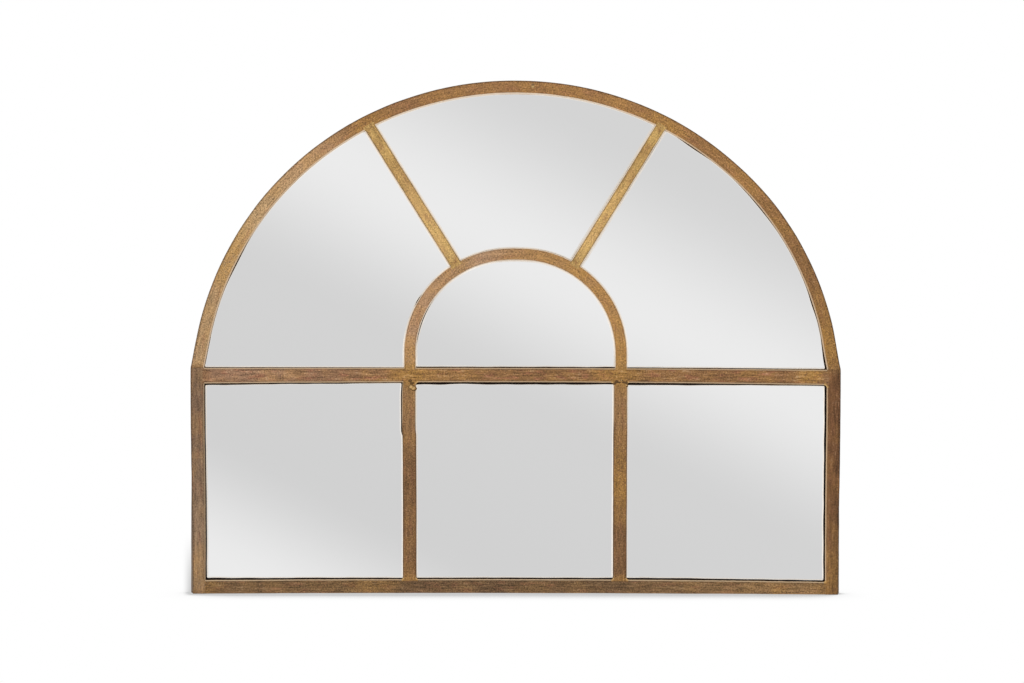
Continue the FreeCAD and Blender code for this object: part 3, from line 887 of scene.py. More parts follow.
def straight(start: Flat, end: Flat, spacing: float = 3 * MM) -> list[Flat]:
    """Evenly spaced points on a line."""
    count = max(1, round(math.dist(start, end) / spacing))
    return [tuple(a + (b - a) * i / count for a, b in zip(start, end)) for i in range(count + 1)]


def rounded(corners: Sequence[Triple], segments: int = 4) -> list[Flat]:
    """A closed outline with a quarter-round of its own radius at each corner.

    Args:
        corners: x, y and radius of each corner.
        segments: How many chords a round has.

    Returns:
        The outline's points.
    """
    outline = []
    for index, (x, y, radius) in enumerate(corners):
        corner = Vector((x, y))
        back = (Vector(corners[index - 1][:2]) - corner).normalized()
        onward = (Vector(corners[(index + 1) % len(corners)][:2]) - corner).normalized()
        straight_on = back.dot(onward) < -0.99
        if radius == 0 or straight_on:
            outline.append((x, y))
            continue
        half = back.angle(onward) / 2
        middle = corner + (back + onward).normalized() * (radius / math.sin(half))
        first, last = [corner + way * (radius / math.tan(half)) - middle for way in (back, onward)]
        turn = first.angle_signed(last)
        for step in range(segments + 1):
            outline.append(tuple(middle + Matrix.Rotation(-turn * step / segments, 2) @ first))
    return outline


def filled_in(outline: Sequence[Flat], spacing: float) -> list[Flat]:
    """A closed outline with more points on its long sides."""
    points = []
    for start, end in zip(outline, [*outline[1:], outline[0]]):
        points += straight(start, end, spacing)[:-1]
    return points


def linked(name: str, data: bpy.types.ID) -> Piece:
    """An object for a mesh, curve, lamp or camera, linked to the scene."""
    made = bpy.data.objects.new(name, data)
    bpy.context.scene.collection.objects.link(made)
    return made


def curve_object(name: str, points: Sequence[Sequence[float]], closed: bool) -> Piece:
    """A curve of straight runs through these points."""
    curve = bpy.data.curves.new(name, "CURVE")
    curve.dimensions = "3D"
    spline = curve.splines.new("POLY")
    spline.points.add(len(points) - 1)
    for place, point in zip(spline.points, points):
        place.co = (*point, 1.0)
    spline.use_cyclic_u = closed
    return linked(name, curve)


def mesh_object(name: str, shape: Shape) -> Piece:
    """Turn an edited mesh into an object as it is."""
    mesh = bpy.data.meshes.new(name)
    shape.to_mesh(mesh)
    shape.free()
    return linked(name, mesh)


def solid_object(name: str, shape: Shape) -> Piece:
    """Turn an edited mesh into an object with its seams closed and its faces outward."""
    bmesh.ops.remove_doubles(shape, verts=shape.verts, dist=WELD_TOLERANCE)
    bmesh.ops.recalc_face_normals(shape, faces=shape.faces)
    return mesh_object(name, shape)


@contextmanager
def edited(piece: Piece) -> Iterator[Shape]:
    """Open a piece's mesh for editing, and put it back."""
    shape = bmesh.new()
    shape.from_mesh(piece.data)
    yield shape
    shape.to_mesh(piece.data)
    shape.free()


def baked(piece: Piece) -> bpy.types.Mesh:
    """The mesh that a piece's modifiers make."""
    bpy.context.view_layer.update()
    graph = bpy.context.evaluated_depsgraph_get()
    return bpy.data.meshes.new_from_object(piece.evaluated_get(graph), depsgraph=graph)


def cut_away(piece: Piece, tool: Piece) -> None:
    """Take a tool's shape out of a piece and remove the tool."""
    modifier = piece.modifiers.new("cut", "BOOLEAN")
    modifier.operation = "DIFFERENCE"
    modifier.solver = "EXACT"
    modifier.object = tool
    mesh = baked(piece)
    piece.modifiers.remove(modifier)
    old, piece.data = piece.data, mesh
    mesh.name = piece.name
    bpy.data.meshes.remove(old)
    bpy.data.objects.remove(tool)


def joined_piece(name: str, pieces: Sequence[Piece]) -> Piece:
    """One object from several."""
    shape = bmesh.new()
    for piece in pieces:
        shape.from_mesh(piece.data)
        bpy.data.objects.remove(piece)
    return mesh_object(name, shape)


def dress(piece: Piece, material: Material) -> None:
    """Give a piece this one material."""
    piece.data.materials.clear()
    piece.data.materials.append(material)


def finish_piece(
    piece: Piece,
    body: str,
    nodes: Sequence[str] = (),
    material: Material | None = None,
) -> None:
    """Smooth a piece and tell the frame about it.

    Args:
        piece: The finished mesh.
        body: The body that it moves with.
        nodes: The frame's nodes that it stands for.
        material: Its material, unless it has one.
    """
    if material is not None:
        dress(piece, material)
    piece.data.shade_smooth()
    piece.data.set_sharp_from_angle(angle=math.radians(38))
    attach(piece, body)
    if nodes:
        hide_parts(*nodes)
    log.info("%s rides on %s, %d faces", piece.name, body, len(piece.data.polygons))


class GrownPiece:
    """A Geometry Nodes tree with named inputs, and the plain meshes that it makes."""

    def __init__(self, name: str, inputs: Mapping[str, str]) -> None:
        """Start a tree.

        Args:
            name: The tree's name.
            inputs: Each input's name and kind of socket. The material comes last by itself.
        """
        tree = bpy.data.node_groups.new(name, "GeometryNodeTree")
        face = tree.interface
        face.new_socket("Geometry", in_out="INPUT", socket_type="NodeSocketGeometry")
        face.new_socket("Geometry", in_out="OUTPUT", socket_type="NodeSocketGeometry")
        self.identifiers = {}
        for label, kind in [*inputs.items(), ("Material", "Material")]:
            socket = face.new_socket(label, in_out="INPUT", socket_type="NodeSocket" + kind)
            self.identifiers[label] = socket.identifier
        self.sheet = Sheet(tree)
        self.group = tree.nodes.new("NodeGroupInput")

    def given(self, label: str) -> Wire:
        """One of the tree's inputs."""
        return Wire(self.sheet, self.group.outputs[label])

    def shape_of(self, label: str) -> Wire:
        """The shape of an object that is an input."""
        return self.sheet.add("GeometryNodeObjectInfo", None, {"Object": self.given(label)}, "Geometry")

    def store(self, geometry: Wire, name: str, value: Wire) -> Wire:
        """Keep a number on every point under a name."""
        settings = {"data_type": "FLOAT", "domain": "POINT"}
        values = {"Geometry": geometry, "Name": name, "Value": value}
        return self.sheet.add("GeometryNodeStoreNamedAttribute", settings, values)

    def stored(self, name: str) -> Wire:
        """A number that every point has under this name."""
        return self.sheet.add("GeometryNodeInputNamedAttribute", {"data_type": "FLOAT"}, {"Name": name})

    def close(self, geometry: Wire) -> None:
        """End the tree in plain geometry with its material."""
        plain = self.sheet.add("GeometryNodeRealizeInstances", None, {"Geometry": geometry})
        values = {"Geometry": plain, "Material": self.given("Material")}
        dressed = self.sheet.add("GeometryNodeSetMaterial", None, values)
        self.sheet.add("NodeGroupOutput", None, {0: dressed})

    def grow(self, name: str, values: Mapping[str, object], helpers: Sequence[Piece]) -> Piece:
        """Run the tree once and keep its result as a plain mesh.

        Args:
            name: The new piece's name.
            values: A value for each of the tree's inputs.
            helpers: Objects that only the tree needed, which are removed.

        Returns:
            The new piece.
        """
        host = linked(name + "_host", bpy.data.meshes.new(name + "_host"))
        modifier = host.modifiers.new("grow", "NODES")
        modifier.node_group = self.sheet.tree
        for label, value in values.items():
            modifier[self.identifiers[label]] = value
        mesh = baked(host)
        mesh.name = name
        host.modifiers.remove(modifier)
        for used in (host, *helpers):
            bpy.data.objects.remove(used)
        return linked(name, mesh)


class SweptBarTree(GrownPiece):
    """Sweeps a bar's section along its path, roughens it as by hand and marks its edges and joints."""

    def __init__(self) -> None:
        """Write the tree."""
        numbers = ["Half Width", "Rim", "One Lip", "Lap", "Lip Fade"]
        numbers += ["Wander", "Wander Grain", "Dents", "Dent Grain", "Seed"]
        shapes = dict.fromkeys(("Path", "Section"), "Object")
        super().__init__("swept_bar", shapes | dict.fromkeys(numbers, "Float"))
        path, section = self._path(), self.shape_of("Section")
        across = self.sheet.part(self.sheet.add("GeometryNodeInputPosition"), 1)
        section = self.store(section, "across", across)
        values = {"Curve": path, "Profile Curve": section, "Fill Caps": True}
        body = self.sheet.add("GeometryNodeCurveToMesh", None, values)
        self.close(self._roughened(self._marked(body)))

    def _path(self) -> Wire:
        """The path, with its length and joints marked and its section turned to the front."""
        sheet = self.sheet
        values = {"Curve": self.shape_of("Path"), "Normal": (0, -1, 0)}
        path = sheet.add("GeometryNodeSetCurveNormal", {"mode": "FREE"}, values)
        along = sheet.add("GeometryNodeSplineParameter", out="Length")
        whole = sheet.add("GeometryNodeSplineLength", out="Length")
        nearest = along.least(whole - along)
        near_seam = (SEAM_REACH - abs(nearest - self.given("Lap"))).most(0.0)
        lipped = ((nearest - self.given("Lip Fade")) / MM + 1).most(0.0).least(1.0)
        path = self.store(self.store(path, "along", along), "near_seam", near_seam)
        return self.store(path, "lipped", lipped)

    def _marked(self, body: Wire) -> Wire:
        """Mark how near each point is to the bar's cut lip and to its outer rim."""
        across = self.stored("across")
        half, rim, one = self.given("Half Width"), self.given("Rim"), self.given("One Lip")
        to_lip = half - abs(across) * (1 - one) - across * one
        near_lip = (MARK_REACH - to_lip).most(0.0) * self.stored("lipped")
        near_rim = (MARK_REACH - half - across).most(0.0) * rim
        return self.store(self.store(body, "near_lip", near_lip), "near_rim", near_rim)

    def _roughened(self, body: Wire) -> Wire:
        """Move the skin a little, less in depth, as filing and grinding leave it."""
        sheet = self.sheet
        place = sheet.add("GeometryNodeInputPosition")
        for depth, grain in (("Wander", "Wander Grain"), ("Dents", "Dent Grain")):
            scale = 1 / self.given(grain)
            values = {"Vector": place, "W": self.given("Seed"), "Scale": scale, "Detail": 2.0}
            blots = sheet.add("ShaderNodeTexNoise", {"noise_dimensions": "4D"}, values, "Color")
            flat = sheet.vector("MULTIPLY", sheet.vector("SUBTRACT", blots, (0.5, 0.5, 0.5)), (1, 0.4, 1))
            values = {"Geometry": body, "Offset": sheet.scaled(flat, self.given(depth))}
            body = sheet.add("GeometryNodeSetPosition", None, values)
        return body


class SetPartsTree(GrownPiece):
    """Sets a small part on every seat, turned about the Y axis by a seeded chance angle."""

    def __init__(self) -> None:
        """Write the tree."""
        inputs = {"Seats": "Object", "Part": "Object", "Chance Turn": "Float", "Seed": "Int"}
        super().__init__("set_parts", inputs)
        sheet = self.sheet
        seats, part = self.shape_of("Seats"), self.shape_of("Part")
        points = sheet.add("GeometryNodeMeshToPoints", None, {"Mesh": seats})
        values = {2: -0.5, 3: 0.5, "Seed": self.given("Seed")}
        chance = sheet.add("FunctionNodeRandomValue", {"data_type": "FLOAT"}, values, 1)
        values = {"Axis": (0, 1, 0), "Angle": chance * self.given("Chance Turn")}
        rotation = sheet.add("FunctionNodeAxisAngleToRotation", None, values)
        values = {"Points": points, "Instance": part, "Rotation": rotation}
        self.close(sheet.add("GeometryNodeInstanceOnPoints", None, values))


class WireTree(GrownPiece):
    """Bends a round wire along a path."""

    def __init__(self) -> None:
        """Write the tree."""
        super().__init__("bent_wire", {"Path": "Object", "Radius": "Float"})
        path, values = self.shape_of("Path"), {"Resolution": 20, "Radius": self.given("Radius")}
        ring = self.sheet.add("GeometryNodeCurvePrimitiveCircle", {"mode": "RADIUS"}, values)
        self.close(self.sheet.add("GeometryNodeCurveToMesh", None, {"Curve": path, "Profile Curve": ring}))


@dataclass(frozen=True)
class BarRun:
    """One bar: its path clockwise seen from the front, its section and how it is set.

    The tuck is how far its face lies behind the front, and the lap how far its ends run under others.
    """

    name: str
    path: Sequence[Flat]
    section: Section
    width: float
    tuck: float
    lap: float
    finish: Material
    replaces: tuple[str, ...] = ()
    lip_fade: float = 0.0


@dataclass
class BarFrame:
    """The welded bars: stiles, rails, muntins, arches and spokes."""

    layout: Layout
    drift: HandDrift
    finishes: Finishes
    face: float = 3 * MM
    web: float = 3 * MM
    rim_radius: float = 0.8 * MM
    lip_radius: float = 1.1 * MM
    back_radius: float = 0.5 * MM
    root_radius: float = 2.0 * MM
    outline_step: float = 2 * MM
    end_round: float = 0.4 * MM
    end_corners: int = 8
    lap: float = 3 * MM
    spoke_lap: float = 6 * MM
    tuck_step: float = 0.03 * MM
    wander: float = 0.9 * MM
    wander_grain: float = 55 * MM
    dents: float = 0.2 * MM
    dent_grain: float = 6 * MM
    seed: float = 3.7
    mark_radius: float = 2 * MM
    mark_depth: float = 1.2 * MM
    mark: Flat = (25.4 * MM, 6.0 * MM)
    tree: SweptBarTree = field(default_factory=SweptBarTree)

    def section_outline(self, run: BarRun) -> list[Flat]:
        """A bar's section.

        Args:
            run: The bar.

        Returns:
            Points that say how far across and how deep behind the front they lie.
        """
        half, near, far = run.width / 2, run.tuck, self.face - run.tuck
        lip, back, root = self.lip_radius, self.back_radius, self.root_radius
        sizes = self.layout.sizes
        if run.section is Section.ANGLE:
            leg, deep = sizes.leg - half, sizes.leg_back - sizes.front
            corners = [(-half, near, self.rim_radius), (half, near, lip), (half, far, back)]
            corners += [(leg, far, root), (leg, deep, back), (-half, deep, back)]
        elif run.section is Section.TEE:
            web, deep = self.web / 2, sizes.web_back - sizes.front
            corners = [(-half, near, lip), (half, near, lip), (half, far, back), (web, far, root / 2)]
            corners += [(web, deep, back / 2), (-web, deep, back / 2)]
            corners += [(-web, far, root / 2), (-half, far, back)]
        else:
            corners = [(-half, near, 0), (half, near, lip), (half, far, back), (-half, far, 0)]
        return filled_in(rounded(corners), self.outline_step)

    def sweep(self, run: BarRun) -> Piece:
        """Make one bar as a plain mesh."""
        front = self.layout.sizes.front
        outline = [(-depth, across, 0.0) for across, depth in self.section_outline(run)]
        section = curve_object(run.name + "_section", outline, True)
        path = curve_object(run.name + "_path", [(x, front, z) for x, z in run.path], False)
        values = {
            "Path": path,
            "Section": section,
            "Half Width": run.width / 2,
            "Rim": 1.0 if run.section is Section.ANGLE else 0.0,
            "One Lip": 0.0 if run.section is Section.TEE else 1.0,
            "Lap": run.lap,
            "Lip Fade": run.lip_fade,
            "Wander": self.wander,
            "Wander Grain": self.wander_grain,
            "Dents": self.dents,
            "Dent Grain": self.dent_grain,
            "Seed": self.seed,
            "Material": run.finish,
        }
        bar = self.tree.grow(run.name, values, (path, section))
        self._soften_ends(bar)
        return bar

    def _soften_ends(self, bar: Piece) -> None:
        """Break the sharp edges round a bar's two ends."""
        settings = {"offset": self.end_round, "segments": 2, "affect": "EDGES", "clamp_overlap": True}
        with edited(bar) as shape:
            ends = [face for face in shape.faces if len(face.verts) > self.end_corners]
            edges = list({edge for face in ends for edge in face.edges})
            bmesh.ops.bevel(shape, geom=edges, **settings)
            bmesh.ops.recalc_face_normals(shape, faces=shape.faces)

    def runs(self) -> list[BarRun]:
        """Every bar but the outer arch."""
        lower = [*self._stile_runs(), *self._rail_runs(), *self._muntin_runs()]
        return [*lower, *self._spoke_runs(), self._inner_run()]

    def _tee(
        self, node: str, path: Sequence[Flat], width: float, steps: int, lap: float, finish: Material
    ) -> BarRun:
        """A T-shaped bar some steps behind the front, whose lips stop where its laps start."""
        tuck = steps * self.tuck_step
        return BarRun(node + "_bar", path, Section.TEE, width, tuck, lap, finish, (node,), lap)

    def _stile_runs(self) -> list[BarRun]:
        """The two stiles, up the left and down the right."""
        width, top = self.layout.stile_face, self.layout.sizes.springing
        x = self.layout.sizes.half_width - width / 2
        lines = {"left_stile": straight((-x, 0), (-x, top)), "right_stile": straight((x, top), (x, 0))}
        fade, tuck, made = self.layout.base_face, 3 * self.tuck_step, []
        for node, line in lines.items():
            finish = self.finishes[node]
            made.append(BarRun(node + "_bar", line, Section.ANGLE, width, tuck, 0, finish, (node,), fade))
        return made

    def _rail_runs(self) -> list[BarRun]:
        """The bottom rail and the middle rail."""
        layout, sizes, lap = self.layout, self.layout.sizes, self.lap
        behind, inset = sizes.half_width - sizes.leg, layout.stile_face
        width, tuck, finish = layout.base_face, 4 * self.tuck_step, self.finishes["base_rail"]
        base, seam = straight((behind, width / 2), (-behind, width / 2)), inset - sizes.leg
        reach, level = sizes.half_width - inset + lap, sizes.springing - layout.mid_face / 2
        rail = straight((-reach, level), (reach, level))
        return [
            BarRun("base_rail_bar", base, Section.ANGLE, width, tuck, seam, finish, ("bottom_rail",)),
            self._tee("mid_rail", rail, layout.mid_face, 2, lap, self.finishes["mid_rail"]),
        ]

    def _muntin_runs(self) -> list[BarRun]:
        """The two uprights between the rails."""
        layout, width, lap, finish = self.layout, self.layout.muntin_face, self.lap, self.finishes["muntin"]
        low, high = layout.base_face - lap, layout.sizes.springing - layout.mid_face + lap
        made = []
        for name, side in SIDES.items():
            x = side * layout.sizes.muntin
            made.append(self._tee(name + "_muntin", straight((x, low), (x, high)), width, 1, lap, finish))
        return made

    def _inner_run(self) -> BarRun:
        """The inner arch."""
        layout, lap = self.layout, self.lap
        bow = layout.inner().whole(0, layout.sizes.springing - lap)
        return self._tee("inner_arch", bow, layout.inner_face, 1, lap, self.finishes["inner_arch"])

    def _spoke_runs(self) -> list[BarRun]:
        """The two slanting bars between the arches."""
        layout, lap, made = self.layout, self.spoke_lap, []
        ends = ((layout.inner(), lap - layout.inner_face / 2), (layout.outer(), layout.arch_face - lap))
        centre = layout.spoke_point(1, 0)
        meets = [line.point(layout.spoke_meets(line, at, 0), at) for line, at in ends]
        start, end = [math.dist(centre, point) for point in meets]
        for name, side in SIDES.items():
            line = straight(layout.spoke_point(side, start), layout.spoke_point(side, end))
            width = layout.spoke_face - (layout.right_spoke_trim if side > 0 else 0)
            made.append(self._tee(name + "_spoke", line, width, 0, lap, self.finishes["spoke"]))
        return made

    def outer_arch(self) -> Piece:
        """The outer arch, cut level on the stiles and marked by a drill near its crown."""
        sizes, outer, width = self.layout.sizes, self.layout.outer(), self.layout.arch_face
        below, tuck, finish = 2 * sizes.bar, 3 * self.tuck_step, self.finishes["arch"]
        bow = outer.whole(width / 2, sizes.springing - below)
        arch = self.sweep(
            BarRun("outer_arch_bar", bow, Section.ANGLE, width, tuck, below, finish, ("outer_arch",))
        )
        level = {"dist": WELD_TOLERANCE, "plane_co": (0, 0, sizes.springing), "plane_no": (0, 0, -1)}
        with edited(arch) as shape:
            everything = [*shape.verts, *shape.edges, *shape.faces]
            cut = bmesh.ops.bisect_plane(shape, geom=everything, clear_outer=True, **level)
            rims = [piece for piece in cut["geom_cut"] if isinstance(piece, bmesh.types.BMEdge)]
            bmesh.ops.holes_fill(shape, edges=rims)
            bmesh.ops.recalc_face_normals(shape, faces=shape.faces)
        self._drill(arch, outer)
        return arch

    def _drill(self, arch: Piece, outer: ArchLine) -> None:
        """Cut the drill's mark into the arch's face and paint shade into its hollow."""
        x, z = self.mark_point(outer, 0.0)
        shape, radius, depth = bmesh.new(), 2 * self.mark_radius, 2 * self.mark_depth
        bmesh.ops.create_cone(shape, cap_ends=True, segments=24, radius1=0, radius2=radius, depth=depth)
        place = Matrix.Translation((x, self.layout.sizes.front, z))
        shape.transform(place @ Matrix.Rotation(math.pi / 2, 4, "X"))
        cut_away(arch, solid_object("drill_point", shape))
        with edited(arch) as shape:
            shade_marks = shape.verts.layers.float["near_rim"]
            # Painted shade in the hollow of the mark, read by the gilt as its rim.
            for vertex in shape.verts:
                if math.dist((vertex.co.x, vertex.co.z), (x, z)) < self.mark_radius * 1.1:
                    vertex[shade_marks] = MARK_REACH

    def mark_point(self, outer: ArchLine, below: float) -> Flat:
        """The drill's mark on the outer arch, or a point this far below it."""
        angle = math.degrees(math.asin(self.mark[0] / outer.crown_radius))
        return outer.point(angle, self.mark[1] + below)

    def build(self) -> None:
        """Make every bar and put it on the frame."""
        pieces = [(self.sweep(run), run.replaces) for run in self.runs()]
        pieces.append((self.outer_arch(), ("outer_arch",)))
        for piece, nodes in pieces:
            self.drift.bend(piece)
            finish_piece(piece, ROOT, nodes)


@dataclass(frozen=True)
class SightSide:
    """One side of a pane's sight: its points, how far the tape shows from end to end, and its bead.

    A swell says where the tape shows more: its place as a share of the side, how much more and its spread.
    """

    points: Sequence[Flat]
    tape: float
    tape_end: float
    bead: float
    swells: tuple[Triple, ...] = ()

    @classmethod
    def of(
        cls, points: Sequence[Flat], tape: float, tape_end: float, bead: float, *swells: Triple
    ) -> "SightSide":
        """A side whose widths are in millimetres."""
        metres = [(place, more * MM, spread) for place, more, spread in swells]
        return cls(points, tape * MM, tape_end * MM, bead * MM, tuple(metres))


@dataclass
class Glazing:
    """The tape between faces and glass, and a near-white metal bead along each pane's visible edge, which
    makes a painted highlight line there.

    The lower panes' tapes are widths in millimetres from end to end of their bottom, right, top and left,
    and the beads are the same for all three.
    """

    layout: Layout
    drift: HandDrift
    finishes: Finishes
    # The tape is black, and how far it shows is set to the dark line along each sight, so it also stands in
    # for the shade in the gap beside each face.
    left_tapes: tuple[Flat, ...] = ((2.3, 1.3), (HIDDEN, HIDDEN), (1.0, 2.3), (0.8, 1.3))
    middle_tapes: tuple[Flat, ...] = ((1.4, 1.6), (HIDDEN, HIDDEN), (2.8, 3.0), (HIDDEN, HIDDEN))
    right_tapes: tuple[Flat, ...] = ((2.0, 1.4), (2.2, 2.7), (0.9, 3.0), (HIDDEN, HIDDEN))
    beads: tuple[float, ...] = (1.6, 1.7, 1.0, 1.9)
    slip_level: float = 237 * MM
    slip_tape: float = 1.6 * MM
    left_fan_most: float = 0.2 * MM
    under: float = 6 * MM
    corner: float = 1.8 * MM
    bead_rise: float = 0.7 * MM
    bead_foot: float = 0.03 * MM
    bead_tuck: float = 0.3 * MM
    wave_share: float = 0.35
    wave_grain: float = 30 * MM
    step: float = 6 * MM

    def sights(self) -> dict[str, list[SightSide]]:
        """Every pane's sides, anticlockwise seen from the front."""
        edge, low, high, inside, outside = self.layout.edges()
        left = self._box(-edge, -outside, low, high, self.left_tapes)
        left[1:2] = self._stepped(left[1])
        middle = self._box(-inside, inside, low, high, self.middle_tapes)
        right = self._box(outside, edge, low, high, self.right_tapes)
        return {"lower_left": left, "lower_middle": middle, "lower_right": right, **self._upper()}

    def _box(
        self, left: float, right: float, low: float, high: float, tapes: Sequence[Flat]
    ) -> list[SightSide]:
        """A rectangular sight."""
        corners = [(left, low), (right, low), (right, high), (left, high)]
        lines = [straight(*ends, self.step) for ends in zip(corners, corners[1:] + corners[:1])]
        return [SightSide.of(line, *tape, bead) for line, tape, bead in zip(lines, tapes, self.beads)]

    def _stepped(self, side: SightSide) -> list[SightSide]:
        """A rising side in two parts: above a level its tape has slipped out."""
        count, tape = sum(1 for _, z in side.points if z <= self.slip_level), self.slip_tape
        lower = replace(side, points=side.points[:count])
        return [lower, replace(side, points=side.points[count - 1 :], tape=tape, tape_end=tape)]

    def _upper(self) -> dict[str, list[SightSide]]:
        """The inner arch's sight and the three fans."""
        layout, step = self.layout, self.step
        inner, outer, rim = layout.inner(), layout.outer(), layout.arch_face
        top, ring, spoke = layout.sizes.springing, layout.inner_face / 2, layout.spoke_face / 2
        inner_near, inner_far = [layout.spoke_meets(inner, -ring, way * spoke) for way in (-1, 1)]
        outer_near, outer_far = [layout.spoke_meets(outer, rim, way * spoke) for way in (-1, 1)]
        feet = [inner.foot_point(side, ring, top) for side in SIDES.values()]
        over = [feet[1], *inner.trace(inner.end_angle, -inner.end_angle, ring), feet[0]]
        rising = straight(inner.point(inner_near, -ring), outer.point(outer_near, rim), step)
        falling = straight(outer.point(-outer_near, rim), inner.point(-inner_near, -ring), step)
        near, far = inner.trace(-inner_near, inner_near, -ring), outer.trace(outer_near, -outer_near, rim)
        foot, haunch = inner.foot_point(1, -ring, top), outer.foot_point(1, rim, top)
        bow = outer.trace(outer.end_angle, outer_far, rim)
        leaning = straight(outer.point(outer_far, rim), inner.point(inner_far, -ring), step)
        back = [*inner.trace(inner_far, inner.end_angle, -ring), foot]
        right = [
            SightSide.of(straight(foot, haunch, step), 1.0, 0.8, 1.7),
            SightSide.of(straight(haunch, bow[0], step), 2.4, 0.6, 0.5),
            SightSide.of(bow, 0.4, HIDDEN, 0.9, (0.13, 1.0, 0.045), (0.55, 1.3, 0.1), (0.88, 2.0, 0.075)),
            SightSide.of(leaning, HIDDEN, HIDDEN, 1.6),
            SightSide.of(back, 0.1, HIDDEN, 1.7),
        ]
        left = [self._mirrored(side) for side in reversed(right)]
        left[0] = replace(left[0], swells=((0.55, 1.7 * MM, 0.06),))
        left[2] = replace(left[2], swells=((0.7, 1.5 * MM, 0.08),))
        return {
            "inner_arch": [
                SightSide.of(straight(*feet, step), 1.3, 1.3, 1.6),
                SightSide.of(over, HIDDEN, HIDDEN, 1.8, (0.88, 1.9, 0.09)),
            ],
            "centre_fan": [
                SightSide.of(near, 0.35, 0.35, 1.6),
                SightSide.of(rising, HIDDEN, HIDDEN, 1.7),
                SightSide.of(far, HIDDEN, HIDDEN, 0.7),
                SightSide.of(falling, HIDDEN, HIDDEN, 1.8),
            ],
            "right_fan": right,
            "left_fan": left,
        }

    def _mirrored(self, side: SightSide) -> SightSide:
        """A side of the right fan on the left, where less tape shows and it swells nowhere."""
        points = [(-x, z) for x, z in reversed(side.points)]
        return SightSide(points, side.tape_end, min(side.tape, self.left_fan_most), side.bead)

    @staticmethod
    def _offset(sides: Sequence[SightSide], reach: Reach) -> list[Vector]:
        """A sight's outline moved inward.

        Args:
            sides: The sight's sides in order.
            reach: How far it moves at a side's share and point.

        Returns:
            The new outline.
        """
        places = []
        for side in sides:
            count = len(side.points) - 1
            for index in range(count):
                places.append((side, index / count, side.points[index], side.points[index + 1]))
        moved = []
        for index, (side, share, start, end) in enumerate(places):
            before = places[index - 1]
            onward = (Vector(end) - Vector(start)).normalized()
            back = (Vector(start) - Vector(before[2])).normalized()
            first, second = Vector((-back.y, back.x)), Vector((-onward.y, onward.x))
            in_first = reach(before[0], 1.0 if share == 0 else share, start)
            in_second = reach(side, share, start)
            runs_on = first.dot(second) > 0.97
            if runs_on:
                moved.append(Vector(start) + (first + second).normalized() * (in_first + in_second) / 2)
            else:
                turn = first.x * second.y - first.y * second.x
                x = (in_first * second.y - in_second * first.y) / turn
                y = (in_second * first.x - in_first * second.x) / turn
                moved.append(Vector(start) + Vector((x, y)))
        return moved

    def _tape_reach(self, side: SightSide, share: float, place: Flat) -> float:
        """How far the tape shows at a point."""
        wave = noise.noise(Vector((place[0], 0.3, place[1])) / self.wave_grain) * self.wave_share
        swell = sum(more * math.exp(-(((share - at) / spread) ** 2)) for at, more, spread in side.swells)
        return (side.tape + (side.tape_end - side.tape) * share) * (1 + wave) + swell

    def _outline(self, sides: Sequence[SightSide], reach: Reach) -> list[Vector]:
        """A sight's outline moved inward, with its sharp corners rounded."""
        outline, corners = self._offset(sides, reach), []
        for index, place in enumerate(outline):
            back = (outline[index - 1] - place).normalized()
            onward = (outline[(index + 1) % len(outline)] - place).normalized()
            turns = back.dot(onward) > -0.9
            corners.append((*place, self.corner if turns else 0.0))
        return [Vector(place) for place in rounded(corners, 5)]

    def build(self) -> None:
        """Make each pane's tape and bead."""
        sizes, finishes, reach = self.layout.sizes, self.finishes, self._tape_reach
        glass, back = sizes.glass_front, sizes.face_back
        for name, sides in self.sights().items():
            hidden, shown = self._offset(sides, lambda *at: -self.under), self._outline(sides, reach)
            band = prism_ring("tape_" + name + "_strip", hidden, shown, (back, back, glass))
            self.drift.bend(band)
            finish_piece(band, ROOT, ("tape_" + name,), finishes["tape"])
            # Each bead is a near-white metal strip that makes a painted highlight line along the pane's
            # edge.
            within = self._outline(sides, lambda *at: reach(*at) - self.bead_tuck)
            beyond = self._outline(sides, lambda side, *at: max(0.0, reach(side, *at)) + side.bead)
            depths = (glass - self.bead_rise, glass - self.bead_foot, glass)
            bead = prism_ring("bead_" + name, within, beyond, depths)
            self.drift.bend(bead)
            finish_piece(bead, ROOT, (), finishes["bead"])


def prism_ring(name: str, outer: Sequence[Vector], inner: Sequence[Vector], depths: Triple) -> Piece:
    """A closed band between two outlines in the front plane.

    Args:
        name: The new piece's name.
        outer: The outline round it.
        inner: The outline of its hole.
        depths: Its front's depth along the outer and the inner outline, and its back's.

    Returns:
        The band.
    """
    shape, (outer_near, inner_near, far) = bmesh.new(), depths
    loops = [[Vector((x, z, 0)) for x, z in loop] for loop in (outer, inner)]
    flat = [point for loop in loops for point in loop]
    fronts = [outer_near] * len(outer) + [inner_near] * len(inner)
    front = [shape.verts.new((p.x, depth, p.y)) for p, depth in zip(flat, fronts)]
    back = [shape.verts.new((p.x, far, p.y)) for p in flat]
    for triangle in tessellate_polygon(loops):
        for layer in (front, back):
            shape.faces.new([layer[index] for index in triangle])
    start = 0
    for loop in loops:
        for index in range(len(loop)):
            first, second = start + index, start + (index + 1) % len(loop)
            shape.faces.new((front[first], front[second], back[second], back[first]))
        start += len(loop)
    return solid_object(name, shape)


@dataclass(frozen=True)
class Lump:
    """A low dome of weld metal, in millimetres from its group's middle.

    A glow says how large its painted highlight on top is. One of 0 has none, and its painted shade covers
    nearly all of it.
    """

    right: float
    up: float
    wide: float
    tall: float
    glow: float = 0.0


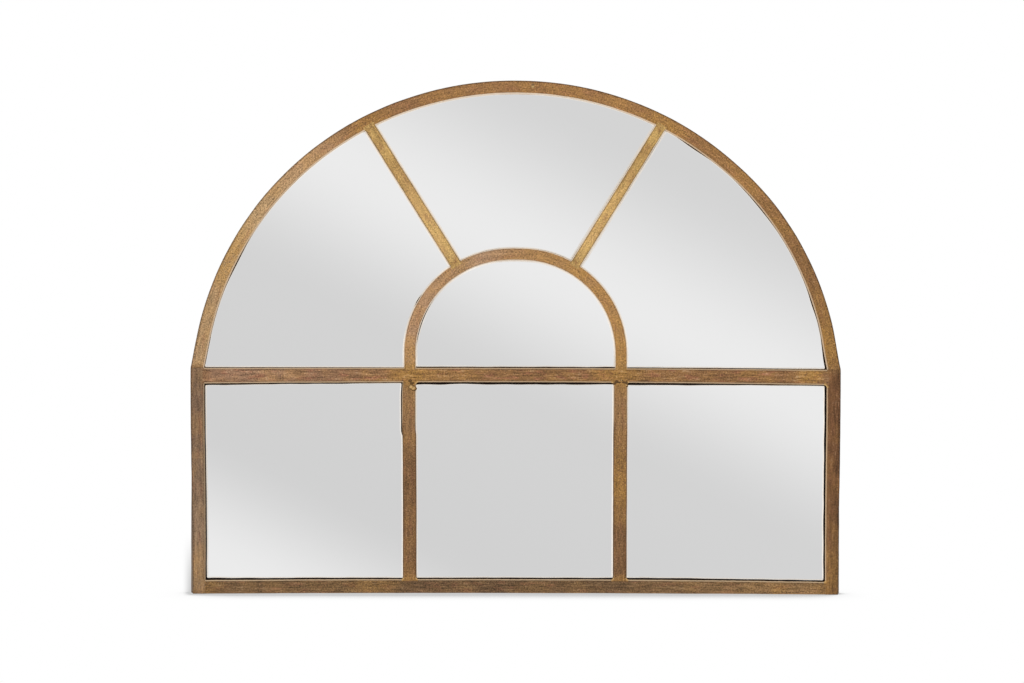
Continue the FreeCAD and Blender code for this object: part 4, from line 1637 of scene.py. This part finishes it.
@dataclass
class WeldMetal:
    """Weld metal left on the front: hollow corner fillets, a bead and a seam ridge, with painted highlights
    on their tops and lips and painted shade at the lumps' feet.
    """

    layout: Layout
    bars: BarFrame
    bead_proud: float = 1.3 * MM
    spot_proud: float = 0.9 * MM
    # The weld bead on the left muntin: two lumps with painted highlights, and two darkened nearly all over.
    beads: tuple[Lump, ...] = (
        Lump(3.4, -6.8, 4.2, 3.6, 0.8),
        Lump(6.9, -8.8, 4.4, 3.8, 0.8),
        Lump(1.2, 2.4, 2.6, 2.0),
        Lump(3.8, -1.2, 3.4, 1.6),
    )
    # The seam on the right muntin: lumps darkened nearly all over, two with small painted highlights.
    seam: tuple[Lump, ...] = (
        Lump(-9.0, -1.4, 2.2, 1.7),
        Lump(-5.6, 1.4, 2.9, 2.2),
        Lump(-1.6, 0.4, 2.2, 1.4),
        Lump(1.6, 3.6, 1.9, 1.3, 0.3),
        Lump(4.6, 0.6, 2.8, 1.5),
        Lump(8.4, 0.2, 2.2, 2.2),
        Lump(9.2, -3.6, 1.9, 2.4, 0.4),
    )
    # A low lump under the drill mark, whose top carries a painted highlight.
    burr: Lump = Lump(0.0, 0.0, 2.5, 1.7, 1.0)
    burr_below: float = 2.6 * MM
    lip_width: float = 3.5 * MM
    fillet_steps: int = 8
    first_seed: float = 1.3
    burr_seed: float = 0.4
    least_proud: float = 0.5
    uneven: float = 0.22
    uneven_scale: float = 1.7
    round_power: float = 0.8
    sink: float = 0.1 * MM
    root: float = 0.4 * MM
    # How far in the painted shade at a lump's foot reaches, without and with a highlight, and where the
    # painted highlight sits and how large it is.
    dark_slope: Flat = (0.6, 1.4)
    glint: Flat = (-0.2, 0.15)
    glint_share: float = 0.45
    glint_inset: float = 0.6 * MM

    def corners(self) -> list[tuple[Flat, Flat, Flat, float]]:
        """Each filleted corner: its point, its two directions and its radius."""
        edge, low, high, inside, outside = self.layout.edges()
        up, down, left, right = (0, 1), (0, -1), (-1, 0), (1, 0)
        return [
            ((edge, high), left, down, 4.4 * MM),
            ((-inside, high), right, down, 3.0 * MM),
            ((inside, high), left, down, 4.0 * MM),
            ((-inside, low), right, up, 2.4 * MM),
            ((inside, low), left, up, 2.6 * MM),
            ((-outside, low), left, up, 2.2 * MM),
            ((outside, low), right, up, 2.6 * MM),
            ((outside, high), right, down, 2.4 * MM),
            ((edge, low), left, up, 2.0 * MM),
        ]

    def fillet(self, index: int, corner: Flat, first: Flat, second: Flat, radius: float) -> Piece:
        """A hollow fillet: a strip of face swept round the corner's arc, clockwise seen from the front."""
        middle = [c + radius * (a + b) for c, a, b in zip(corner, first, second)]
        reach, path = radius + self.lip_width / 2, []
        for step in range(self.fillet_steps + 1):
            turn = math.pi / 2 * step / self.fillet_steps
            way = [b * math.cos(turn) + a * math.sin(turn) for a, b in zip(first, second)]
            path.append(tuple(m - reach * w for m, w in zip(middle, way)))
        if first[0] * second[1] - first[1] * second[0] < 0:
            path.reverse()
        name, width, finish = f"fillet_{index}", self.lip_width, self.bars.finishes["weld"]
        return self.bars.sweep(BarRun(name, path, Section.LIP, width, 0.0, -SEAM_REACH, finish))

    def lump(self, name: str, middle: Flat, lump: Lump, proud: float, seed: float) -> Piece:
        """A low uneven dome of weld metal, with painted shade at its foot and, where it has a glow, a
        painted highlight on top.

        Args:
            name: The piece's name.
            middle: The middle of its group.
            lump: Its place and size.
            proud: How far it stands out.
            seed: Which chance shape it has.

        Returns:
            The dome.
        """
        shape = bmesh.new()
        bmesh.ops.create_icosphere(shape, subdivisions=4, radius=1.0)
        front, glow, wide, tall = self.layout.sizes.front, lump.glow, lump.wide * MM, lump.tall * MM
        right, up = middle[0] + lump.right * MM, middle[1] + lump.up * MM
        # Painted shade near the foot and a painted highlight about the top, kept as marks that the gilt
        # reads as its rim and lip.
        shade_marks, lights = [shape.verts.layers.float.new(mark) for mark in ("near_rim", "near_lip")]
        for vertex in shape.verts:
            x, y, z = vertex.co
            inside = (1 - math.hypot(x, z)) * min(wide, tall) * self.dark_slope[glow > 0]
            vertex[shade_marks] = max(0.0, MARK_REACH - inside)
            off = math.hypot((x - self.glint[0]) * wide, (z - self.glint[1]) * tall)
            shine = off * self.glint_share / glow if glow else MARK_REACH
            vertex[lights] = max(0.0, MARK_REACH - self.glint_inset - shine)
            chance = noise.fractal(Vector((x, z, seed)) * self.uneven_scale, 1.0, 2.0, 3)
            swell = 1 + self.uneven * chance
            rise = max(0.0, -y) ** self.round_power * proud * swell
            depth = front + self.sink - rise if y < 0 else front + self.root
            vertex.co = (right + x * wide * swell, depth, up + z * tall * swell)
        return solid_object(name, shape)

    def build(self) -> None:
        """Make the welds as one piece."""
        high, muntin = self.layout.edges()[2], self.layout.sizes.muntin
        pieces = [self.fillet(index, *corner) for index, corner in enumerate(self.corners())]
        groups = ((-muntin, self.beads, self.bead_proud), (muntin, self.seam, self.spot_proud))
        for x, lumps, proud in groups:
            for lump in lumps:
                rise, seed = proud * max(lump.glow, self.least_proud), self.first_seed + len(pieces)
                pieces.append(self.lump("spot", (x, high), lump, rise, seed))
        mark = self.bars.mark_point(self.layout.outer(), self.burr_below)
        pieces.append(self.lump("burr", mark, self.burr, self.spot_proud, self.burr_seed))
        joined = joined_piece("front_weld_metal", pieces)
        self.bars.drift.bend(joined)
        finish_piece(joined, ROOT, ("front_welds",), self.bars.finishes["weld"])


def turned(name: str, profile: Sequence[Flat], middle: Sequence[float], segments: int = 32) -> Piece:
    """A solid turned about an axis along Y.

    Args:
        name: The new piece's name.
        profile: Each ring's radius and depth. A radius of zero is a point on the axis.
        middle: Where the axis starts.
        segments: How many sides it has.

    Returns:
        The solid.
    """
    shape, rings = bmesh.new(), []
    for radius, depth in profile:
        turns = [2 * math.pi * index / segments for index in range(segments if radius else 1)]
        ring = [(radius * math.sin(turn), depth, radius * math.cos(turn)) for turn in turns]
        rings.append([shape.verts.new([m + p for m, p in zip(middle, point)]) for point in ring])
    for first, second in zip(rings, rings[1:]):
        for index in range(segments):
            onward = (index + 1) % segments
            corners = [first[index % len(first)], first[onward % len(first)]]
            corners += [second[onward % len(second)], second[index % len(second)]]
            shape.faces.new(list(dict.fromkeys(corners)))
    return solid_object(name, shape)


def refined_copy(name: str, node: str, width: float) -> Piece:
    """A copy of a frame node's shape with rounded edges."""
    shape = bmesh.new()
    shape.from_mesh(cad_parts[node].data)
    bmesh.ops.remove_doubles(shape, verts=shape.verts, dist=WELD_TOLERANCE / 10)
    bmesh.ops.dissolve_limit(shape, angle_limit=math.radians(1), verts=shape.verts, edges=shape.edges)
    piece = solid_object(name, shape)
    bevel = piece.modifiers.new("rounded_edges", "BEVEL")
    bevel.width = width
    bevel.segments = 3
    bevel.limit_method = "ANGLE"
    bevel.angle_limit = math.radians(35)
    return piece


@dataclass
class Fastenings:
    """The turn-buttons, the screws and the hangers on the back."""

    layout: Layout
    finishes: Finishes
    boss_offset: float = 6.5 * MM
    stile_share: float = 0.5
    rail_share: float = 0.325
    arch_angles: Flat = (42.0, 15.0)
    button_seat: float = 3.85 * MM
    button_head: Flat = (2.7 * MM, 1.8 * MM)
    button_seed: int = 5
    hanger_angle: float = 62.0
    hanger_seat: float = 3.65 * MM
    hanger_head: Flat = (3.2 * MM, 2.2 * MM)
    hanger_seed: int = 8
    screw_spread: float = 13 * MM
    head_foot: float = -0.2 * MM
    head_side_share: float = 0.45
    head_turns: tuple[float, ...] = (0.35, 0.7, 1.05, 1.35)
    recess_shares: Flat = (0.25, 0.75)
    recess_thin: float = 0.24
    recess_level_share: float = 0.85
    ring_bar: float = 36 * MM
    ring_middle: float = -8.5 * MM
    ring_depth: float = 5.23 * MM
    ring_half: float = 7.5 * MM
    ring_leg: float = 7.5 * MM
    ring_corner: float = 2 * MM
    bow_steps: int = 24
    corner_steps: int = 6
    wire_radius: float = 1.5 * MM
    edge_round: float = 0.35 * MM
    parts: SetPartsTree = field(default_factory=SetPartsTree)
    wires: WireTree = field(default_factory=WireTree)

    def button_places(self) -> list[Flat]:
        """Where the turn-buttons' screws stand."""
        sizes, outer = self.layout.sizes, self.layout.outer()
        edge, level = sizes.half_width - self.boss_offset, sizes.springing * self.stile_share
        rail = 2 * sizes.half_width * self.rail_share
        places = []
        for side in SIDES.values():
            places += [(side * edge, level), (side * rail, self.boss_offset)]
            places += [outer.point(side * angle, self.boss_offset) for angle in self.arch_angles]
        return places

    def hanger_places(self) -> list[Flat]:
        """Where the hangers' screws stand."""
        outer = self.layout.outer()
        lean = math.degrees(math.asin(self.screw_spread / (outer.side_radius - self.boss_offset)))
        turns = (self.hanger_angle - lean, self.hanger_angle + lean)
        return [outer.point(side * turn, self.boss_offset) for side in SIDES.values() for turn in turns]

    def head(self, radius: float, height: float) -> Piece:
        """A pan-head screw's head on the Y axis, with a cross recess.

        Args:
            radius: Half its width.
            height: How far it stands up.

        Returns:
            The head.
        """
        side, foot = self.head_side_share, self.head_foot
        profile = [(0, foot), (radius, foot), (radius, height * side)]
        for turn in self.head_turns:
            profile.append((radius * math.cos(turn), height * (side + (1 - side) * math.sin(turn))))
        made = turned("screw_head", [*profile, (0, height)], (0, 0, 0))
        low, high = [radius * share for share in self.recess_shares]
        moves = [Matrix.Rotation(math.pi / 4, 4, "Z"), Matrix.Diagonal((1.0, self.recess_thin, 1.0, 1.0))]
        moves.append(Matrix.Rotation(-math.pi / 2, 4, "X"))
        level = Matrix.Translation((0, height * self.recess_level_share, 0))
        for turn in (0, math.pi / 2):
            shape = bmesh.new()
            bmesh.ops.create_cone(shape, cap_ends=True, segments=4, radius1=low, radius2=high, depth=height)
            for move in (*moves, level @ Matrix.Rotation(turn, 4, "Y")):
                shape.transform(move)
            cut_away(made, solid_object("recess", shape))
        return made

    def screws(self, kind: str, places: Sequence[Flat], seat: float, size: Flat, seed: int) -> None:
        """Set a screw head on every place."""
        head, shape, name = self.head(*size), bmesh.new(), kind + "_screw_heads"
        for x, z in places:
            shape.verts.new((x, seat, z))
        seats = mesh_object(name + "_seats", shape)
        values = {"Seats": seats, "Part": head, "Chance Turn": 2 * math.pi, "Seed": seed}
        values["Material"] = self.finishes["steel"]
        finish_piece(self.parts.grow(name, values, (seats, head)), ROOT, (kind + "_screws",))

    def ring_path(self, side: int) -> list[Triple]:
        """The middle line of a hanger's ring: its bar, two legs and the bow."""
        half, corner, steps = self.ring_half, self.ring_corner, self.corner_steps
        bar, bow = -self.ring_bar, -self.ring_bar + corner + self.ring_leg
        turns = [math.pi * step / self.bow_steps for step in range(self.bow_steps + 1)]
        local = [(bow + half * math.sin(turn), half * math.cos(turn)) for turn in turns]
        turns = [math.pi / 2 * step / steps for step in range(steps + 1)]
        for rise, way in ((-1, turns), (1, turns[::-1])):
            for turn in way:
                across = rise * (half - corner + corner * math.cos(turn))
                local.append((bar + corner * (1 - math.sin(turn)), across))
        return [self._on_arch(side, x, z + self.ring_middle) for x, z in local]

    def _on_arch(self, side: int, x: float, z: float) -> Triple:
        """A point given along the arch and outward from the right or left hanger's middle."""
        lean = math.radians(self.hanger_angle)
        middle = self.layout.outer().point(self.hanger_angle, self.boss_offset)
        across = middle[0] + x * math.cos(lean) + z * math.sin(lean)
        return side * across, self.ring_depth, middle[1] - x * math.sin(lean) + z * math.cos(lean)

    def build(self) -> None:
        """Make the fastenings."""
        zinc = self.finishes["zinc"]
        self.screws("button", self.button_places(), self.button_seat, self.button_head, self.button_seed)
        self.screws("hanger", self.hanger_places(), self.hanger_seat, self.hanger_head, self.hanger_seed)
        for name in [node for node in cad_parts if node.startswith("turn_button_")]:
            button = refined_copy(name.replace("turn_", "plate_"), name, self.edge_round)
            finish_piece(button, name, (name,), zinc)
        for name, side in SIDES.items():
            plate = refined_copy(name + "_hanger_strap", name + "_hanger_plate", self.edge_round)
            finish_piece(plate, ROOT, (name + "_hanger_plate",), zinc)
            path = curve_object(name + "_ring_path", self.ring_path(side), True)
            values = {"Path": path, "Radius": self.wire_radius, "Material": self.finishes["steel"]}
            ring = self.wires.grow(name + "_ring_wire", values, (path,))
            finish_piece(ring, name + "_hanger_ring", (name + "_hanger_ring",))


@dataclass
class WallBumpers:
    """The two rubber bumpers on the back panel's lower corners."""

    finishes: Finishes
    tip_share: float = 0.75
    tip_round: float = 1.5 * MM
    tip_turns: Triple = (0.4, 0.8, 1.2)
    dish_shares: Flat = (0.55, 0.4)
    dish_depth: float = 0.3 * MM

    def build(self) -> None:
        """Make both bumpers."""
        for name in SIDES:
            node = name + "_wall_bumper"
            low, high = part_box(node)
            radius, height = (high.x - low.x) / 2, high.y - low.y
            tip = radius * self.tip_share
            rim, floor = [tip * share for share in self.dish_shares]
            profile = [(0, 0), (radius, 0), (tip, height - self.tip_round)]
            for turn in self.tip_turns:
                edge = tip - self.tip_round * (1 - math.cos(turn))
                profile.append((edge, height - self.tip_round * (1 - math.sin(turn))))
            profile += [(rim, height), (floor, height - self.dish_depth), (0, height - self.dish_depth)]
            bumper = turned(name + "_bumper", profile, ((low.x + high.x) / 2, low.y, (low.z + high.z) / 2))
            finish_piece(bumper, ROOT, (node,), self.finishes["rubber"])


@dataclass
class Studio:
    """The camera, the pale floor, the lamps and the white room that the glass reflects.

    The bands are the room's grey levels at shares of the way along its slant.
    """

    sizes: FrameSizes
    distance: float = 3.0
    view_width: float = 1.4946
    camera_x: float = -5.1 * MM
    camera_z: float = 368.9 * MM
    roll: float = -0.09
    floor_size: float = 30.0
    contact_reach: float = 120 * MM
    contact_depth: float = 5.9
    darkest: float = 0.6
    # A painted shade on the floor in a soft wedge beside the left foot: its strength, edge, reach, depth and
    # start.
    side_shade: float = 0.42
    side_edge: float = 5 * MM
    side_reach: float = 17 * MM
    side_depth: float = 1.0
    side_start: float = -30 * MM
    key_place: Triple = (-1.6, -2.6, 2.6)
    key_size: float = 1.8
    back_place: Triple = (1.2, 2.4, 2.4)
    back_size: float = 2.0
    lamp_power: float = 26.0
    room_light: float = 0.835
    slant: Flat = (0.454, 0.891)
    bands: tuple[Flat, ...] = (
        (0.0, 230), (0.24, 234), (0.34, 248), (0.37, 255), (0.42, 241), (0.448, 214), (0.487, 216),
        (0.52, 241), (0.557, 217), (0.6, 215), (0.625, 255), (0.66, 246), (0.76, 232), (1.0, 226),
    )

    def camera(self) -> None:
        """Stand the camera straight in front, at the photograph's framing."""
        data = bpy.data.cameras.new("camera")
        data.sensor_width = 36.0
        data.lens = data.sensor_width * self.distance / self.view_width
        data.clip_end = 100.0
        seen = linked("camera", data)
        seen.location = (self.camera_x, self.sizes.front - self.distance, self.camera_z)
        seen.rotation_euler = (math.pi / 2, math.radians(self.roll), 0)
        bpy.context.scene.camera = seen

    def floor(self) -> None:
        """A white floor that darkens where something stands close over it, and a painted shade in a soft
        wedge beside the frame's left foot.
        """
        shape = bmesh.new()
        bmesh.ops.create_grid(shape, x_segments=1, y_segments=1, size=self.floor_size / 2)
        floor = solid_object("floor", shape)
        material, sheet = material_sheet("white_floor")
        names = ("Is Camera Ray", "Is Glossy Ray", "Is Transmission Ray")
        camera, glossy, through = [sheet.add("ShaderNodeLightPath", out=name) for name in names]
        glow = (1 - self._shade(sheet)).most(self.darkest)
        white = sheet.add("ShaderNodeEmission", None, {"Color": grey(255), "Strength": glow})
        lit = sheet.add("ShaderNodeBsdfDiffuse", None, {"Color": grey(245)})
        seen = sheet.add("ShaderNodeMixShader", None, {0: camera, 1: lit, 2: white})
        clear = sheet.add("ShaderNodeBsdfTransparent")
        sheet.surface(sheet.add("ShaderNodeMixShader", None, {0: glossy.most(through), 1: seen, 2: clear}))
        floor.data.materials.append(material)

    def _shade(self, sheet: Sheet) -> Wire:
        """How dark the floor is: under the frame from its occlusion, and a painted shade in a soft wedge
        beside its left foot.
        """
        values = {"Distance": self.contact_reach}
        closed = 1 - sheet.add("ShaderNodeAmbientOcclusion", {"samples": 16}, values, "AO")
        place = sheet.places()
        behind = sheet.part(place, 1) - self.sizes.front
        aside = (sheet.part(place, 0) - self.camera_x) / (behind / self.distance + 1) + self.camera_x
        edge = self.side_edge - self.sizes.half_width
        # The wedge is painted, placed where the camera sees floor just beside the left stile.
        beside = aside.step(edge - self.side_reach, edge) * aside.step(0.0, edge / 2)
        beside = beside * behind.step(self.side_depth, 0.0) * behind.step(self.side_start, 0.0)
        return closed * closed * closed * self.contact_depth + beside * self.side_shade

    def room(self) -> None:
        """White to the camera, plain light on the mirror, and soft slanting grey bands in the glass."""
        world = bpy.data.worlds.new("room")
        world.use_nodes = True
        world.node_tree.nodes.clear()
        bpy.context.scene.world = world
        sheet = Sheet(world.node_tree)
        way = sheet.add("ShaderNodeTexCoord", out="Generated")
        slant = sheet.part(way, 0) * self.slant[0] + sheet.part(way, 2) * self.slant[1]
        settings = {"stops": [(place, grey(level)) for place, level in self.bands], "between": "EASE"}
        bands = sheet.add("ShaderNodeValToRGB", settings, {0: (slant + 1) * 0.5})
        seen = sheet.add("ShaderNodeLightPath", out="Is Camera Ray")
        glossy = sheet.add("ShaderNodeLightPath", out="Is Glossy Ray")
        strength = seen.most(glossy) * (1 - self.room_light) + self.room_light
        values = {"Color": sheet.mix(glossy, grey(255), bands), "Strength": strength}
        glow = sheet.add("ShaderNodeBackground", None, values)
        sheet.add("ShaderNodeOutputWorld", None, {0: glow})

    def lamp(self, name: str, place: Triple, size: float) -> None:
        """A large soft lamp that faces the middle of the mirror."""
        data = bpy.data.lights.new(name, "AREA")
        data.energy = self.lamp_power
        data.size = size
        made = linked(name, data)
        made.location = place
        aim = Vector((0, 0, self.sizes.height / 2)) - Vector(place)
        made.rotation_euler = aim.to_track_quat("-Z", "Y").to_euler()
        made.visible_glossy = False

    def build(self) -> None:
        """Set up the studio."""
        bpy.context.scene.view_settings.view_transform = "Standard"
        self.camera()
        self.floor()
        self.room()
        self.lamp("key_lamp", self.key_place, self.key_size)
        self.lamp("back_lamp", self.back_place, self.back_size)


def dress_carried_nodes(finishes: Finishes) -> None:
    """Give every node that stays in sight its material."""
    by_start = {
        "mirror_": finishes["glass"],
        "back_panel": finishes["board"],
        "backing_foam": finishes["foam"],
        "setting_blocks": finishes["rubber"],
        "button_bosses": finishes["boss"],
        "hanger_bosses": finishes["boss"],
    }
    for name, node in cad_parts.items():
        if node.hide_render:
            continue
        found = [finish for start, finish in by_start.items() if name.startswith(start)]
        if not found:
            log.warning("%s has no finish", name)
            continue
        dress(node, found[0])


def main() -> None:
    """Build the studio, the frame's looks and the hardware, in that order."""
    logging.basicConfig(level=logging.INFO, format="%(message)s")
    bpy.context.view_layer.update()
    sizes = FrameSizes.read()
    layout = Layout(sizes)
    drift = HandDrift(sizes)
    Studio(sizes).build()
    finishes = make_finishes()
    bars = BarFrame(layout, drift, finishes)
    bars.build()
    WeldMetal(layout, bars).build()
    Glazing(layout, drift, finishes).build()
    Fastenings(layout, finishes).build()
    WallBumpers(finishes).build()
    dress_carried_nodes(finishes)


if __name__ == "__main__":
    main()
